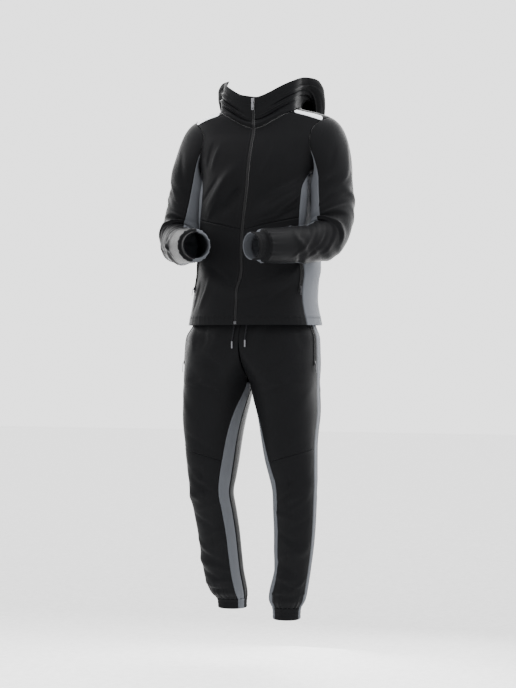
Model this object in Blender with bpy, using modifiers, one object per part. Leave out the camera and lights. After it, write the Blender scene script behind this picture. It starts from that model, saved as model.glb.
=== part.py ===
"""Hooded tracksuit, jacket and joggers, in its worn form.

Lengths are metres, +Z up, front towards -Y, the wearer's left towards +X.
Heights in the tables are above the ground below the joggers. The origin is
the centre of the neck and shoulders, which is where the suit is held up.
"""
import math

import bmesh
import bpy
import numpy as np
from mathutils import Matrix

HOLD_HEIGHT = 1.560
WALL = 0.0018
SEAM_GAP = 0.00026
LAY_GAP = 0.0008

# Jacket body: level sections from the hem to the neck.
BODY_COLUMNS = ("height", "half_width", "front", "back", "centre", "turn")
BODY_SECTIONS = (
    (0.970, 0.1885, 0.140, 0.138, -0.008, -5.0),
    (0.998, 0.1830, 0.141, 0.138, -0.008, -4.8),
    (1.030, 0.1770, 0.138, 0.136, -0.008, -4.4),
    (1.070, 0.1745, 0.135, 0.133, -0.005, -4.0),
    (1.120, 0.1760, 0.134, 0.132, 0.002, -3.2),
    (1.180, 0.1760, 0.133, 0.130, 0.000, -2.6),
    (1.250, 0.1740, 0.130, 0.130, 0.002, -1.6),
    (1.320, 0.1740, 0.128, 0.132, 0.006, 0.0),
    (1.380, 0.1680, 0.127, 0.134, 0.009, 1.0),
    (1.430, 0.1800, 0.121, 0.131, 0.012, 1.0),
    (1.470, 0.1930, 0.110, 0.124, 0.015, 1.0),
    (1.500, 0.1980, 0.099, 0.115, 0.017, 1.0),
    (1.525, 0.2000, 0.091, 0.106, 0.017, 1.0),
    (1.545, 0.1930, 0.085, 0.096, 0.017, 1.0),
    (1.558, 0.1600, 0.081, 0.089, 0.017, 1.0),
    (1.570, 0.1150, 0.078, 0.082, 0.017, 1.0),
    (1.585, 0.0860, 0.074, 0.074, 0.017, 1.0),
    (1.600, 0.0780, 0.070, 0.070, 0.017, 1.0),
)
BODY_SQUARENESS = 2.35

# Side panel edges, as angles from the front in degrees.
SIDE_COLUMNS = ("height", "front_edge", "back_edge")
SIDE_EDGES = (
    (0.970, 72.0, 108.0),
    (1.120, 67.0, 105.0),
    (1.230, 61.5, 102.0),
    (1.320, 60.0, 102.0),
    (1.360, 63.0, 101.0),
    (1.385, 72.0, 98.0),
    (1.405, 88.0, 92.0),
)
HEM_HEIGHT = 0.972
CHEST_SEAM_ZIP = 1.232
CHEST_SEAM_SIDE = 1.264
ARMPIT_HEIGHT = 1.405
ARMHOLE_CENTRE = 1.475
ARMHOLE_RISE = 0.070
ARMHOLE_HALF_ANGLE = 26.0
NECK_FRONT = 1.512
NECK_SIDE = 1.572
NECK_BACK = 1.585
YOKE_FRONT_ANGLE = 52.0
YOKE_BACK_ANGLE = 112.0
ZIP_HALF = 0.0038

# Angles round a sleeve: 0 outer, 90 front, 180 next to the body, 270 back.
ARMHOLE_FRONT = (35.0, 60.0, 85.0, 110.0, 133.0, 156.0, 176.0)
ARMHOLE_BACK = (184.0, 208.0, 235.0, 264.0, 292.0, 325.0)

# Sleeve axes: points from the armhole to the cuff end.
ARM_COLUMNS = ("x", "y", "height", "half_side", "half_front")
ARM_LEFT = (
    (0.203, 0.000, 1.470, 0.062, 0.070),
    (0.213, -0.004, 1.390, 0.0600, 0.064),
    (0.219, -0.018, 1.320, 0.0595, 0.061),
    (0.224, -0.036, 1.262, 0.0590, 0.060),
    (0.216, -0.066, 1.213, 0.0560, 0.058),
    (0.189, -0.113, 1.192, 0.0500, 0.052),
    (0.140, -0.183, 1.184, 0.0460, 0.048),
    (0.096, -0.246, 1.179, 0.0440, 0.045),
    (0.072, -0.281, 1.177, 0.0380, 0.039),
)
ARM_RIGHT = (
    (-0.178, 0.002, 1.470, 0.062, 0.070),
    (-0.190, 0.000, 1.390, 0.0600, 0.064),
    (-0.203, -0.004, 1.320, 0.0595, 0.061),
    (-0.212, -0.018, 1.262, 0.0590, 0.060),
    (-0.212, -0.050, 1.213, 0.0560, 0.058),
    (-0.190, -0.105, 1.192, 0.0500, 0.052),
    (-0.140, -0.190, 1.186, 0.0460, 0.048),
    (-0.094, -0.266, 1.182, 0.0440, 0.045),
    (-0.071, -0.304, 1.180, 0.0380, 0.039),
)
CUFF_LENGTH = 0.036
CUFF_HALF = 0.0365
SLEEVE_RINGS = 17
SHOULDER_RINGS = 5
ARM_CLEARANCE = 0.007
PRESS_SOFTNESS = 0.010
PRESS_FADE = 0.030
PRESS_INWARD = 0.6
PRESS_SAMPLES = 60
AXIS_SAMPLES = 200
INNER_ARM_HALF = 60.0
SLEEVE_RADIUS = 0.055
ARMPIT_CLEARANCE = 0.005

# Joggers: hip sections above the crotch, the seat split by the centre seam.
HIP_COLUMNS = ("height", "half_width", "front", "back", "centre")
HIP_SECTIONS = (
    (0.790, 0.194, 0.118, 0.120, -0.016),
    (0.822, 0.193, 0.121, 0.124, -0.016),
    (0.860, 0.193, 0.125, 0.130, -0.016),
    (0.900, 0.192, 0.128, 0.134, -0.016),
    (0.940, 0.189, 0.127, 0.134, -0.015),
    (0.970, 0.175, 0.120, 0.124, -0.012),
    (1.000, 0.164, 0.114, 0.118, -0.010),
    (1.030, 0.158, 0.111, 0.114, -0.008),
    (1.065, 0.156, 0.110, 0.113, -0.006),
)
HIP_SQUARENESS = 2.25
WAIST_SEAM = 1.024
WAIST_TOP = 1.062
FORK_TOP = 0.935
CROTCH_HEIGHT = 0.822
LEG_COLUMNS = ("height", "x", "y", "half_width", "half_depth")
LEG_LEFT = (
    (0.164, 0.0990, -0.051, 0.0375, 0.0390),
    (0.199, 0.0995, -0.051, 0.0400, 0.0420),
    (0.216, 0.1008, -0.052, 0.0495, 0.0520),
    (0.243, 0.1054, -0.053, 0.0515, 0.0540),
    (0.298, 0.1170, -0.055, 0.0495, 0.0520),
    (0.353, 0.1214, -0.058, 0.0535, 0.0560),
    (0.408, 0.1250, -0.061, 0.0560, 0.0590),
    (0.463, 0.1263, -0.064, 0.0585, 0.0620),
    (0.518, 0.1270, -0.065, 0.0605, 0.0650),
    (0.573, 0.1203, -0.058, 0.0650, 0.0730),
    (0.628, 0.1100, -0.045, 0.0720, 0.0820),
    (0.682, 0.1020, -0.030, 0.0795, 0.0930),
    (0.735, 0.0935, -0.012, 0.0870, 0.1050),
    (0.780, 0.0830, -0.004, 0.0930, 0.1160),
    (0.822, 0.0790, 0.000, 0.0950, 0.1220),
)
LEG_RIGHT = (
    (0.164, -0.1055, 0.090, 0.0405, 0.0410),
    (0.194, -0.1057, 0.086, 0.0430, 0.0440),
    (0.210, -0.1115, 0.078, 0.0520, 0.0540),
    (0.236, -0.1165, 0.070, 0.0560, 0.0580),
    (0.280, -0.1218, 0.058, 0.0570, 0.0590),
    (0.333, -0.1224, 0.040, 0.0580, 0.0600),
    (0.392, -0.1229, 0.020, 0.0590, 0.0620),
    (0.451, -0.1262, 0.000, 0.0600, 0.0640),
    (0.509, -0.1296, -0.018, 0.0605, 0.0670),
    (0.565, -0.1296, -0.020, 0.0690, 0.0760),
    (0.621, -0.1283, -0.016, 0.0750, 0.0850),
    (0.677, -0.1270, -0.012, 0.0820, 0.0960),
    (0.733, -0.1220, -0.008, 0.0890, 0.1080),
    (0.780, -0.1150, -0.003, 0.0930, 0.1170),
    (0.822, -0.1110, 0.000, 0.0950, 0.1220),
)
ANKLE_CUFF_TOP = {"left": 0.199, "right": 0.194}
ANKLE_CUFF_END = 0.165
OUTER_STRIPE_ANGLE = 93.0
OUTER_STRIPE_HALF = 0.018
INNER_COLUMNS = ("height", "angle", "half_width")
INNER_STRIPE = (
    (0.164, 56.0, 0.017),
    (0.540, 55.0, 0.018),
    (0.680, 62.0, 0.020),
    (0.780, 76.0, 0.017),
    (0.822, 89.0, 0.004),
)
KNEE_SEAM = 0.612
KNEE_TILT = 0.022

# Hood lying down: profile points from the neck seam to the opening's edge.
HOOD_COLUMNS = ("run", "front_out", "front_up", "back_out", "back_up")
HOOD_PROFILE = (
    (0.00, 0.000, 0.000, 0.000, 0.000),
    (0.10, 0.001, 0.010, 0.006, 0.026),
    (0.18, 0.002, 0.018, 0.021, 0.038),
    (0.28, 0.003, 0.027, 0.044, 0.012),
    (0.40, 0.004, 0.036, 0.061, -0.062),
    (0.52, 0.005, 0.045, 0.074, -0.134),
    (0.60, 0.005, 0.052, 0.090, -0.164),
    (0.68, 0.006, 0.059, 0.112, -0.140),
    (0.80, 0.006, 0.067, 0.125, -0.066),
    (0.91, 0.007, 0.075, 0.117, 0.014),
    (1.00, 0.007, 0.083, 0.098, 0.052),
)
HOOD_ROWS = (0.0, 0.10, 0.18, 0.28, 0.40, 0.52, 0.60, 0.68, 0.80, 0.91, 1.0)

# Folds: soft ridges (+) and troughs (-) laid on a surface.
FOLD_COLUMNS = ("angle", "height", "half_length", "half_width", "slope", "depth")
BODY_FOLDS = (
    (36.0, 1.300, 0.070, 0.020, 38.0, 0.006),
    (38.0, 1.340, 0.060, 0.020, 34.0, -0.005),
    (-34.0, 1.340, 0.070, 0.018, 58.0, 0.009),
    (-20.0, 1.312, 0.040, 0.016, 50.0, -0.008),
    (28.0, 1.080, 0.090, 0.020, 14.0, 0.006),
    (-26.0, 1.090, 0.080, 0.022, -20.0, 0.007),
    (150.0, 1.300, 0.090, 0.022, 48.0, 0.008),
    (-150.0, 1.280, 0.090, 0.022, -46.0, 0.008),
    (172.0, 1.080, 0.120, 0.022, 6.0, 0.007),
    (120.0, 1.120, 0.060, 0.020, 24.0, -0.006),
    (-118.0, 1.130, 0.060, 0.020, -22.0, -0.006),
)

SLEEVE_FOLDS = (
    (60.0, 0.110, 0.050, 0.014, 32.0, 0.005),
    (-20.0, 0.170, 0.060, 0.014, -26.0, 0.005),
    (92.0, 0.232, 0.050, 0.011, 8.0, -0.008),
    (60.0, 0.262, 0.055, 0.011, -16.0, 0.006),
    (120.0, 0.285, 0.050, 0.011, 20.0, -0.006),
    (30.0, 0.330, 0.060, 0.012, -40.0, 0.005),
    (-50.0, 0.300, 0.060, 0.013, 24.0, 0.005),
    (10.0, 0.395, 0.045, 0.010, 30.0, 0.004),
)
LEG_FOLDS = {
    "left": (
        (10.0, 0.505, 0.060, 0.013, 12.0, 0.006),
        (0.0, 0.545, 0.060, 0.014, -8.0, -0.006),
        (20.0, 0.350, 0.060, 0.014, 18.0, 0.005),
        (-30.0, 0.300, 0.050, 0.012, -20.0, 0.005),
        (170.0, 0.520, 0.065, 0.014, 4.0, -0.008),
        (190.0, 0.480, 0.060, 0.014, -8.0, 0.006),
        (15.0, 0.780, 0.080, 0.016, 30.0, 0.006),
        (150.0, 0.800, 0.070, 0.016, -22.0, -0.006),
        (10.0, 0.228, 0.080, 0.010, 4.0, -0.004),
    ),
    "right": (
        (10.0, 0.560, 0.065, 0.014, 8.0, -0.006),
        (20.0, 0.500, 0.060, 0.014, -12.0, 0.006),
        (-10.0, 0.360, 0.060, 0.014, -16.0, 0.005),
        (40.0, 0.300, 0.050, 0.012, 20.0, 0.005),
        (170.0, 0.520, 0.065, 0.014, -4.0, -0.008),
        (190.0, 0.470, 0.060, 0.014, 10.0, 0.006),
        (12.0, 0.800, 0.085, 0.016, 34.0, 0.007),
        (150.0, 0.790, 0.070, 0.016, -22.0, -0.006),
        (10.0, 0.224, 0.080, 0.010, -4.0, -0.004),
    ),
}

# Small hard pieces and the drawstring.
SLIDER_GAP = 0.0005
MAIN_SLIDER = (0.0085, 0.0040, 0.0110)
MAIN_PULL = 0.024
POCKET_SLIDER = (0.0070, 0.0032, 0.0085)
JACKET_POCKET_PULL = 0.018
JOGGERS_POCKET_PULL = 0.026
STOP_SIZE = (0.0080, 0.0024, 0.0080)
JACKET_POCKET_ROWS = (2.5, 3.0, 4.0, 5.0)
JACKET_POCKET_COLUMNS = (6.50, 6.76)
JOGGERS_POCKET_ROWS = (23.1, 24.0, 25.0, 26.0, 26.8)
JOGGERS_POCKET_COLUMNS = (6.50, 6.70)
HINGE_GAP = 0.0015
PULL_HINGE_HALF = 0.0008
PULL_THICK = 0.0014
CORD_DIAMETER = 0.0035
CORD_POINTS = 18
TIP_DIAMETER = 0.0046
TIP_LENGTH = 0.019
TIP_GAP = 0.0009
CORD_ROUTES = {
    "right": ((-0.0290, -0.1130, 1.046), (-0.0292, -0.1146, 1.030), (-0.0285, -0.1174, 1.005),
              (-0.0280, -0.1222, 0.980), (-0.0290, -0.1280, 0.955), (-0.0326, -0.1312, 0.928)),
    "left": ((0.0060, -0.1130, 1.046), (0.0062, -0.1146, 1.030), (0.0068, -0.1174, 1.005),
             (0.0074, -0.1222, 0.980), (0.0064, -0.1280, 0.955), (0.0046, -0.1312, 0.932)),
}

# How finely each surface is divided.
SIDES = (("left", 1.0), ("right", -1.0))
LOW_ROWS = 8
MID_ROWS = 5
YOKE_SPANS = 3
EDGE_HOLD = 4.0
YOKE_COLUMNS = 3
NECK_FRONT_SPANS = 4
NECK_BACK_SPANS = 6
SHOULDER_LENGTH = 0.108
SLEEVE_ANGLES = (-68.0, -35.0, -11.7, 11.7, 35.0, 60.0, 85.0, 110.0,
                 133.0, 156.0, 176.0, 184.0, 208.0, 235.0, 264.0)
UNDER_START = 7
HOOD_CLEARANCE = 0.010
HOOD_FLARE_LEFT = 0.012
HOOD_FLARE_RIGHT = -0.026
FRONT_SPANS = 7
STRIPE_SPANS = 2
BACK_SPANS = 7
CUFF_ROWS = 3
CUFF_WALL = 0.0024
LEG_ROWS = 18
KNEE_ROW = 11
FORK_ROWS = 4
HIP_ROWS = 4

CLOTH_BLACK = (0.013, 0.013, 0.015, 1.0)
CLOTH_GREY = (0.135, 0.142, 0.155, 1.0)
STRIP_SILVER = (0.60, 0.61, 0.62, 1.0)
METAL = (0.55, 0.55, 0.57, 1.0)
DARK_METAL = (0.06, 0.06, 0.065, 1.0)


def clear_scene():
    """Remove every object that is in the scene."""
    for item in list(bpy.data.objects):
        bpy.data.objects.remove(item, do_unlink=True)


def new_collection(name):
    """Return a new collection under the scene's own."""
    group = bpy.data.collections.new(name)
    bpy.context.scene.collection.children.link(group)
    return group


def new_material(name, colour, roughness, metallic=0.0):
    """Return a Principled material with one colour."""
    material = bpy.data.materials.new(name)
    material.use_nodes = True
    shader = material.node_tree.nodes["Principled BSDF"]
    shader.inputs["Base Color"].default_value = colour
    shader.inputs["Roughness"].default_value = roughness
    shader.inputs["Metallic"].default_value = metallic
    return material


def read(table, columns, name, where):
    """Read a named column at any place by a cubic that does not overshoot."""
    rows = np.array(table, dtype=float)
    place = rows[:, 0]
    value = rows[:, columns.index(name)]
    if place[0] > place[-1]:
        place = place[::-1]
        value = value[::-1]
    step = np.diff(place)
    slope = np.diff(value) / step
    middle = np.where(slope[1:] * slope[:-1] > 0.0, 0.5 * (slope[1:] + slope[:-1]), 0.0)
    limit = 3.0 * np.minimum(np.abs(slope[1:]), np.abs(slope[:-1]))
    middle = np.clip(middle, -limit, limit)
    tangent = np.concatenate(([slope[0]], middle, [slope[-1]]))
    where = np.clip(np.asarray(where, dtype=float), place[0], place[-1])
    cell = np.clip(np.searchsorted(place, where, side="right") - 1, 0, len(step) - 1)
    width = step[cell]
    t = (where - place[cell]) / width
    start = (1.0 + 2.0 * t) * (1.0 - t) ** 2 * value[cell]
    end = t * t * (3.0 - 2.0 * t) * value[cell + 1]
    lean = t * (1.0 - t) ** 2 * tangent[cell] - t * t * (1.0 - t) * tangent[cell + 1]
    return start + end + lean * width


def smooth_step(value):
    """Rise softly from 0 to 1 between 0 and 1."""
    t = np.clip(value, 0.0, 1.0)
    return t * t * (3.0 - 2.0 * t)


def unit(vectors):
    """Scale vectors to length one."""
    length = np.linalg.norm(vectors, axis=-1, keepdims=True)
    return vectors / np.maximum(length, 1e-12)


def oval_radius(angle, half_width, depth, squareness):
    """Distance from the centre to a squarish oval, at an angle from the front."""
    wide = np.abs(np.sin(angle) / half_width) ** squareness
    deep = np.abs(np.cos(angle) / depth) ** squareness
    return (wide + deep) ** (-1.0 / squareness)


def fold_height(folds, angle_degrees, height, radius):
    """Sum of the folds at a place: a bell across each fold, ending softly."""
    total = np.zeros(np.broadcast(angle_degrees, height).shape)
    for row in folds:
        fold = dict(zip(FOLD_COLUMNS, row))
        turn = (angle_degrees - fold["angle"] + 180.0) % 360.0 - 180.0
        run = np.radians(turn) * radius
        rise = height - fold["height"]
        tilt = math.radians(fold["slope"])
        along = run * math.cos(tilt) + rise * math.sin(tilt)
        across = -run * math.sin(tilt) + rise * math.cos(tilt)
        bell = np.exp(-(across / fold["half_width"]) ** 2)
        total = total + fold["depth"] * bell * np.exp(-(along / fold["half_length"]) ** 4)
    return total


def spline(points, places):
    """Catmull-Rom curve through points, read at places from 0 to 1."""
    rows = np.array(points, dtype=float)
    last = len(rows) - 1
    padded = np.vstack((2 * rows[0] - rows[1], rows, 2 * rows[-1] - rows[-2]))
    spot = np.clip(np.asarray(places, dtype=float), 0.0, 1.0) * last
    cell = np.clip(spot.astype(int), 0, last - 1)
    t = (spot - cell)[:, None]
    p0, p1, p2, p3 = (padded[cell + shift] for shift in range(4))
    bend = (2 * p0 - 5 * p1 + 4 * p2 - p3) * t ** 2 + (3 * p1 - p0 - 3 * p2 + p3) * t ** 3
    return 0.5 * (2 * p1 + (p2 - p0) * t + bend)


def arm_axis(table, count):
    """Sleeve axis points with their half sizes, evenly spaced along the arm."""
    fine = spline(table, np.linspace(0.0, 1.0, AXIS_SAMPLES))
    length = np.concatenate(([0.0], np.cumsum(np.linalg.norm(np.diff(fine[:, :3], axis=0), axis=1))))
    even = np.linspace(0.0, length[-1], count)
    return np.stack([np.interp(even, length, fine[:, k]) for k in range(len(ARM_COLUMNS))], axis=1), length[-1]


def press_from_arm(points, table, side):
    """Push body points off a sleeve so that it lies just clear of the body."""
    axis, _ = arm_axis(table, PRESS_SAMPLES)
    centre = axis[:, :3]
    flat = points.reshape(-1, 3)
    offset = flat[:, None, :] - centre[None, :, :]
    distance = np.linalg.norm(offset, axis=2)
    reach = np.maximum(axis[:, 3], axis[:, 4])[None, :] + ARM_CLEARANCE
    near = np.argmin(distance - reach, axis=1)
    pick = np.arange(len(flat))
    fade = smooth_step((ARMPIT_HEIGHT + 0.002 - flat[:, 2]) / PRESS_FADE)
    over = reach[0, near] - distance[pick, near]
    short = 0.5 * (over + np.hypot(over, PRESS_SOFTNESS)) * fade
    away = offset[pick, near]
    away[:, 0] -= side * PRESS_INWARD * distance[pick, near]
    away = unit(away)
    return (flat + away * short[:, None]).reshape(points.shape)


def body_point(angle_degrees, height):
    """Jacket body surface, by angle from the front and height above ground."""
    angle = np.radians(angle_degrees)
    half_width = read(BODY_SECTIONS, BODY_COLUMNS, "half_width", height)
    front = read(BODY_SECTIONS, BODY_COLUMNS, "front", height)
    back = read(BODY_SECTIONS, BODY_COLUMNS, "back", height)
    depth = np.where(np.cos(angle) > 0.0, front, back)
    radius = oval_radius(angle, half_width, depth, BODY_SQUARENESS)
    radius = radius + fold_height(BODY_FOLDS, angle_degrees, height, radius)
    turned = angle + np.radians(read(BODY_SECTIONS, BODY_COLUMNS, "turn", height))
    centre = read(BODY_SECTIONS, BODY_COLUMNS, "centre", height)
    x = centre + radius * np.sin(turned)
    y = -radius * np.cos(turned)
    points = np.stack((x, y, np.broadcast_to(height, x.shape)), axis=-1)
    points = press_from_arm(points, ARM_LEFT, 1.0)
    return press_from_arm(points, ARM_RIGHT, -1.0)


def body_normal(angle_degrees, height):
    """Outward normal of the jacket body surface."""
    turn_step = 0.4
    rise_step = 0.0015
    around = body_point(angle_degrees + turn_step, height) - body_point(angle_degrees - turn_step, height)
    upward = body_point(angle_degrees, height + rise_step) - body_point(angle_degrees, height - rise_step)
    return unit(np.cross(around, upward))


def neck_height(angle_degrees):
    """Height of the neck seam at an angle from the front."""
    turn = np.abs((np.asarray(angle_degrees, dtype=float) + 180.0) % 360.0 - 180.0)
    side = NECK_FRONT + (NECK_SIDE - NECK_FRONT) * smooth_step(turn / 80.0)
    return side + (NECK_BACK - NECK_SIDE) * smooth_step((turn - 80.0) / 100.0)


def zip_angle(height):
    """Angle from the centre front to the edge of the zip, in degrees."""
    front = read(BODY_SECTIONS, BODY_COLUMNS, "front", height)
    return np.degrees((ZIP_HALF + SEAM_GAP) / front)


def armhole(sleeve_degrees):
    """Angle and height on the body of the armhole seam, by sleeve angle."""
    turn = np.radians(np.asarray(sleeve_degrees, dtype=float))
    angle = 90.0 - ARMHOLE_HALF_ANGLE * np.sin(turn)
    return angle, ARMHOLE_CENTRE + ARMHOLE_RISE * np.cos(turn)


def between(start, end, count):
    """Straight run of (angle, height) stations with both ends."""
    t = np.linspace(0.0, 1.0, count + 1)[:, None]
    return np.array(start)[None, :] * (1.0 - t) + np.array(end)[None, :] * t


def coons(left, right, bottom, top, hold=1.0):
    """Fill a four-sided patch from its edges; hold keeps the bends near them."""
    v = np.linspace(0.0, 1.0, len(left))[:, None, None]
    u = np.linspace(0.0, 1.0, len(bottom))[None, :, None]
    across = left[:, None, :] * (1.0 - u) + right[:, None, :] * u
    bottom_bend = bottom - (bottom[0] * (1.0 - u[0]) + bottom[-1] * u[0])
    top_bend = top - (top[0] * (1.0 - u[0]) + top[-1] * u[0])
    return across + bottom_bend[None] * (1.0 - v) ** hold + top_bend[None] * v ** hold


def grid_normals(points, wrap):
    """Normals of a grid, rows upward and columns round; wrap closes the columns."""
    if wrap:
        around = np.roll(points, -1, axis=1) - np.roll(points, 1, axis=1)
    else:
        around = np.gradient(points, axis=1)
    upward = np.gradient(points, axis=0)
    return unit(np.cross(around, upward))


def panel_points(outer, normal, wrap=False, wall=WALL):
    """Outer and inner grids of a panel, drawn in at its cut edges."""
    outer = outer.copy()
    inner = outer - wall * normal
    sides = [(0, 1, 0), (-1, -2, 0)]
    if not wrap:
        sides += [(0, 1, 1), (-1, -2, 1)]
    for edge, inside, axis in sides:
        cut = (edge, slice(None)) if axis == 0 else (slice(None), edge)
        next_in = (inside, slice(None)) if axis == 0 else (slice(None), inside)
        along = unit(np.gradient(outer[cut], axis=0))
        inward = outer[next_in] - outer[cut]
        step = SEAM_GAP * unit(inward - along * np.sum(inward * along, axis=1, keepdims=True))
        outer[cut] = outer[cut] + step - SEAM_GAP * normal[cut]
        inner[cut] = inner[cut] + step
    return outer, inner


def shell_mesh(name, outer, inner, wrap=False):
    """Closed mesh between an outer and an inner grid of the same size."""
    rows, columns = outer.shape[:2]
    points = np.concatenate((outer.reshape(-1, 3), inner.reshape(-1, 3)))
    points[:, 2] -= HOLD_HEIGHT
    index = np.arange(rows * columns).reshape(rows, columns)
    if wrap:
        index = np.concatenate((index, index[:, :1]), axis=1)
    under = index + rows * columns
    top = np.stack((index[:-1, :-1], index[:-1, 1:], index[1:, 1:], index[1:, :-1]), axis=-1)
    bottom = np.stack((under[:-1, :-1], under[1:, :-1], under[1:, 1:], under[:-1, 1:]), axis=-1)
    faces = [top.reshape(-1, 4), bottom.reshape(-1, 4)]
    faces.append(np.stack((index[0, :-1], under[0, :-1], under[0, 1:], index[0, 1:]), axis=-1))
    faces.append(np.stack((index[-1, 1:], under[-1, 1:], under[-1, :-1], index[-1, :-1]), axis=-1))
    if not wrap:
        faces.append(np.stack((index[1:, 0], under[1:, 0], under[:-1, 0], index[:-1, 0]), axis=-1))
        faces.append(np.stack((index[:-1, -1], under[:-1, -1], under[1:, -1], index[1:, -1]), axis=-1))
    mesh = bpy.data.meshes.new(name)
    mesh.from_pydata(points.tolist(), [], np.concatenate(faces).tolist())
    mesh.update()
    mesh.shade_smooth()
    mesh.set_sharp_from_angle(angle=math.radians(50.0))
    return mesh


def add_object(name, mesh, material, group):
    """Put a mesh in the model's collection with one material."""
    item = bpy.data.objects.new(name, mesh)
    item.data.materials.append(material)
    group.objects.link(item)
    return item


def add_panel(name, outer, normal, material, group, wrap=False, flip=False, wall=WALL):
    """Make one cloth piece; flip mirrors the order of columns to face out."""
    if flip:
        outer = outer[:, ::-1]
        normal = normal[:, ::-1]
    outside, inside = panel_points(outer, normal, wrap, wall)
    return add_object(name, shell_mesh(name, outside, inside, wrap), material, group)


def lay_on(points, normal, rows, columns, lift, flip=False):
    """Grid read between a panel's own points and moved out from them."""
    grid = np.array(rows)[:, None] + np.zeros(len(columns))[None, :]
    across = np.array(columns)[None, :] + np.zeros(len(rows))[:, None]
    row = np.clip(np.floor(grid).astype(int), 0, points.shape[0] - 2)
    column = np.clip(np.floor(across).astype(int), 0, points.shape[1] - 2)
    v = (grid - row)[..., None]
    u = (across - column)[..., None]

    def blend(field):
        """Mix the four corners of the cell."""
        low = field[row, column] * (1 - u) + field[row, column + 1] * u
        high = field[row + 1, column] * (1 - u) + field[row + 1, column + 1] * u
        return low * (1 - v) + high * v

    facing = unit(blend(normal))
    laid = blend(points) + lift * facing
    if flip:
        return laid[:, ::-1], facing[:, ::-1]
    return laid, facing


def side_stations(edge, armhole_end):
    """Rows of a side panel edge: the hem to the chest seam, then to the armpit."""
    low = np.linspace(HEM_HEIGHT, CHEST_SEAM_SIDE, LOW_ROWS + 1)
    high = np.linspace(CHEST_SEAM_SIDE, ARMPIT_HEIGHT, MID_ROWS + 1)[1:]
    height = np.concatenate((low, high))
    rows = np.stack((read(SIDE_EDGES, SIDE_COLUMNS, edge, height), height), axis=1)
    rows[-1] = np.stack(armhole(armhole_end))
    return rows


def neck_stations(start, end, count):
    """Stations along the neck seam."""
    angle = np.linspace(start, end, count + 1)
    return np.stack((angle, neck_height(angle)), axis=1)


def armhole_stations(sleeve_degrees):
    """Stations along the armhole seam."""
    angle, height = armhole(np.array(sleeve_degrees))
    return np.stack((angle, height), axis=1)


def zip_stations(start, end, count):
    """Stations up the edge of the front opening."""
    height = np.linspace(start, end, count + 1)
    return np.stack((zip_angle(height), height), axis=1)


def jacket_patches():
    """Station grids of the wearer's left half, and of the whole back."""
    front_side = side_stations("front_edge", ARMHOLE_FRONT[-1])
    back_side = side_stations("back_edge", ARMHOLE_BACK[0])
    front_hole = armhole_stations(ARMHOLE_FRONT[::-1])
    back_hole = armhole_stations(ARMHOLE_BACK)
    neck_front = neck_stations(float(zip_angle(NECK_FRONT)), YOKE_FRONT_ANGLE, NECK_FRONT_SPANS)
    neck_side = neck_stations(YOKE_FRONT_ANGLE, YOKE_BACK_ANGLE, YOKE_SPANS)
    neck_back = neck_stations(YOKE_BACK_ANGLE, 360.0 - YOKE_BACK_ANGLE, NECK_BACK_SPANS)
    yoke_front = between(neck_front[-1], front_hole[-1], YOKE_COLUMNS)
    yoke_back = between(neck_back[0], back_hole[-1], YOKE_COLUMNS)
    yoke_end = armhole_stations(np.linspace(ARMHOLE_FRONT[0], ARMHOLE_BACK[-1] - 360.0, YOKE_SPANS + 1))

    columns = NECK_FRONT_SPANS + YOKE_COLUMNS
    hem = between((zip_angle(HEM_HEIGHT), HEM_HEIGHT), front_side[0], columns)
    chest = between((zip_angle(CHEST_SEAM_ZIP), CHEST_SEAM_ZIP), front_side[LOW_ROWS], columns)
    zip_low = zip_stations(HEM_HEIGHT, CHEST_SEAM_ZIP, LOW_ROWS)
    edge_high = np.concatenate((front_side[LOW_ROWS:], front_hole[1:]))
    zip_high = zip_stations(CHEST_SEAM_ZIP, NECK_FRONT, len(edge_high) - 1)
    top = np.concatenate((neck_front, yoke_front[1:]))

    def mirrored(stations):
        """The same stations on the wearer's right."""
        return np.stack((360.0 - stations[:, 0], stations[:, 1]), axis=1)

    back_left = np.concatenate((back_side, back_hole[1:]))
    back_top = np.concatenate((yoke_back[::-1], neck_back[1:-1], mirrored(yoke_back)))
    back_hem = between(back_side[0], mirrored(back_side[:1])[0], len(back_top) - 1)
    return {
        "front_lower": coons(zip_low, front_side[:LOW_ROWS + 1], hem, chest),
        "front_upper": coons(zip_high, edge_high, chest, top, EDGE_HOLD),
        "side": coons(front_side, back_side, between(front_side[0], back_side[0], 3),
                      between(front_side[-1], back_side[-1], 3)),
        "yoke": coons(neck_side, yoke_end, yoke_front, yoke_back),
        "back": coons(back_left, mirrored(back_left), back_hem, back_top, EDGE_HOLD),
        "zip_rows": np.concatenate((zip_low, zip_high[1:])),
        "neck": np.concatenate((neck_front, neck_side[1:], neck_back[1:])),
    }


def armhole_normals(grids, side):
    """Normals to share along the armhole seam, for the body and for the sleeve."""
    angle, height = armhole(np.array(SLEEVE_ANGLES))
    of_body = body_normal(angle * side, height)
    of_sleeve = grids["sleeve", side][1][0]
    mild = (np.sum(of_body * of_sleeve, axis=1) > -0.2)[:, None]
    shared = unit(of_body + of_sleeve)
    return np.where(mild, shared, of_body), np.where(mild, shared, of_sleeve)


def at_sleeve_angles(values, degrees):
    """Pick the rows of armhole values that belong to these sleeve angles."""
    apart = (np.array(SLEEVE_ANGLES)[None, :] - np.array(degrees)[:, None] + 180.0) % 360.0 - 180.0
    order = np.argmin(np.abs(apart), axis=1)
    return values[order]


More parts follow.
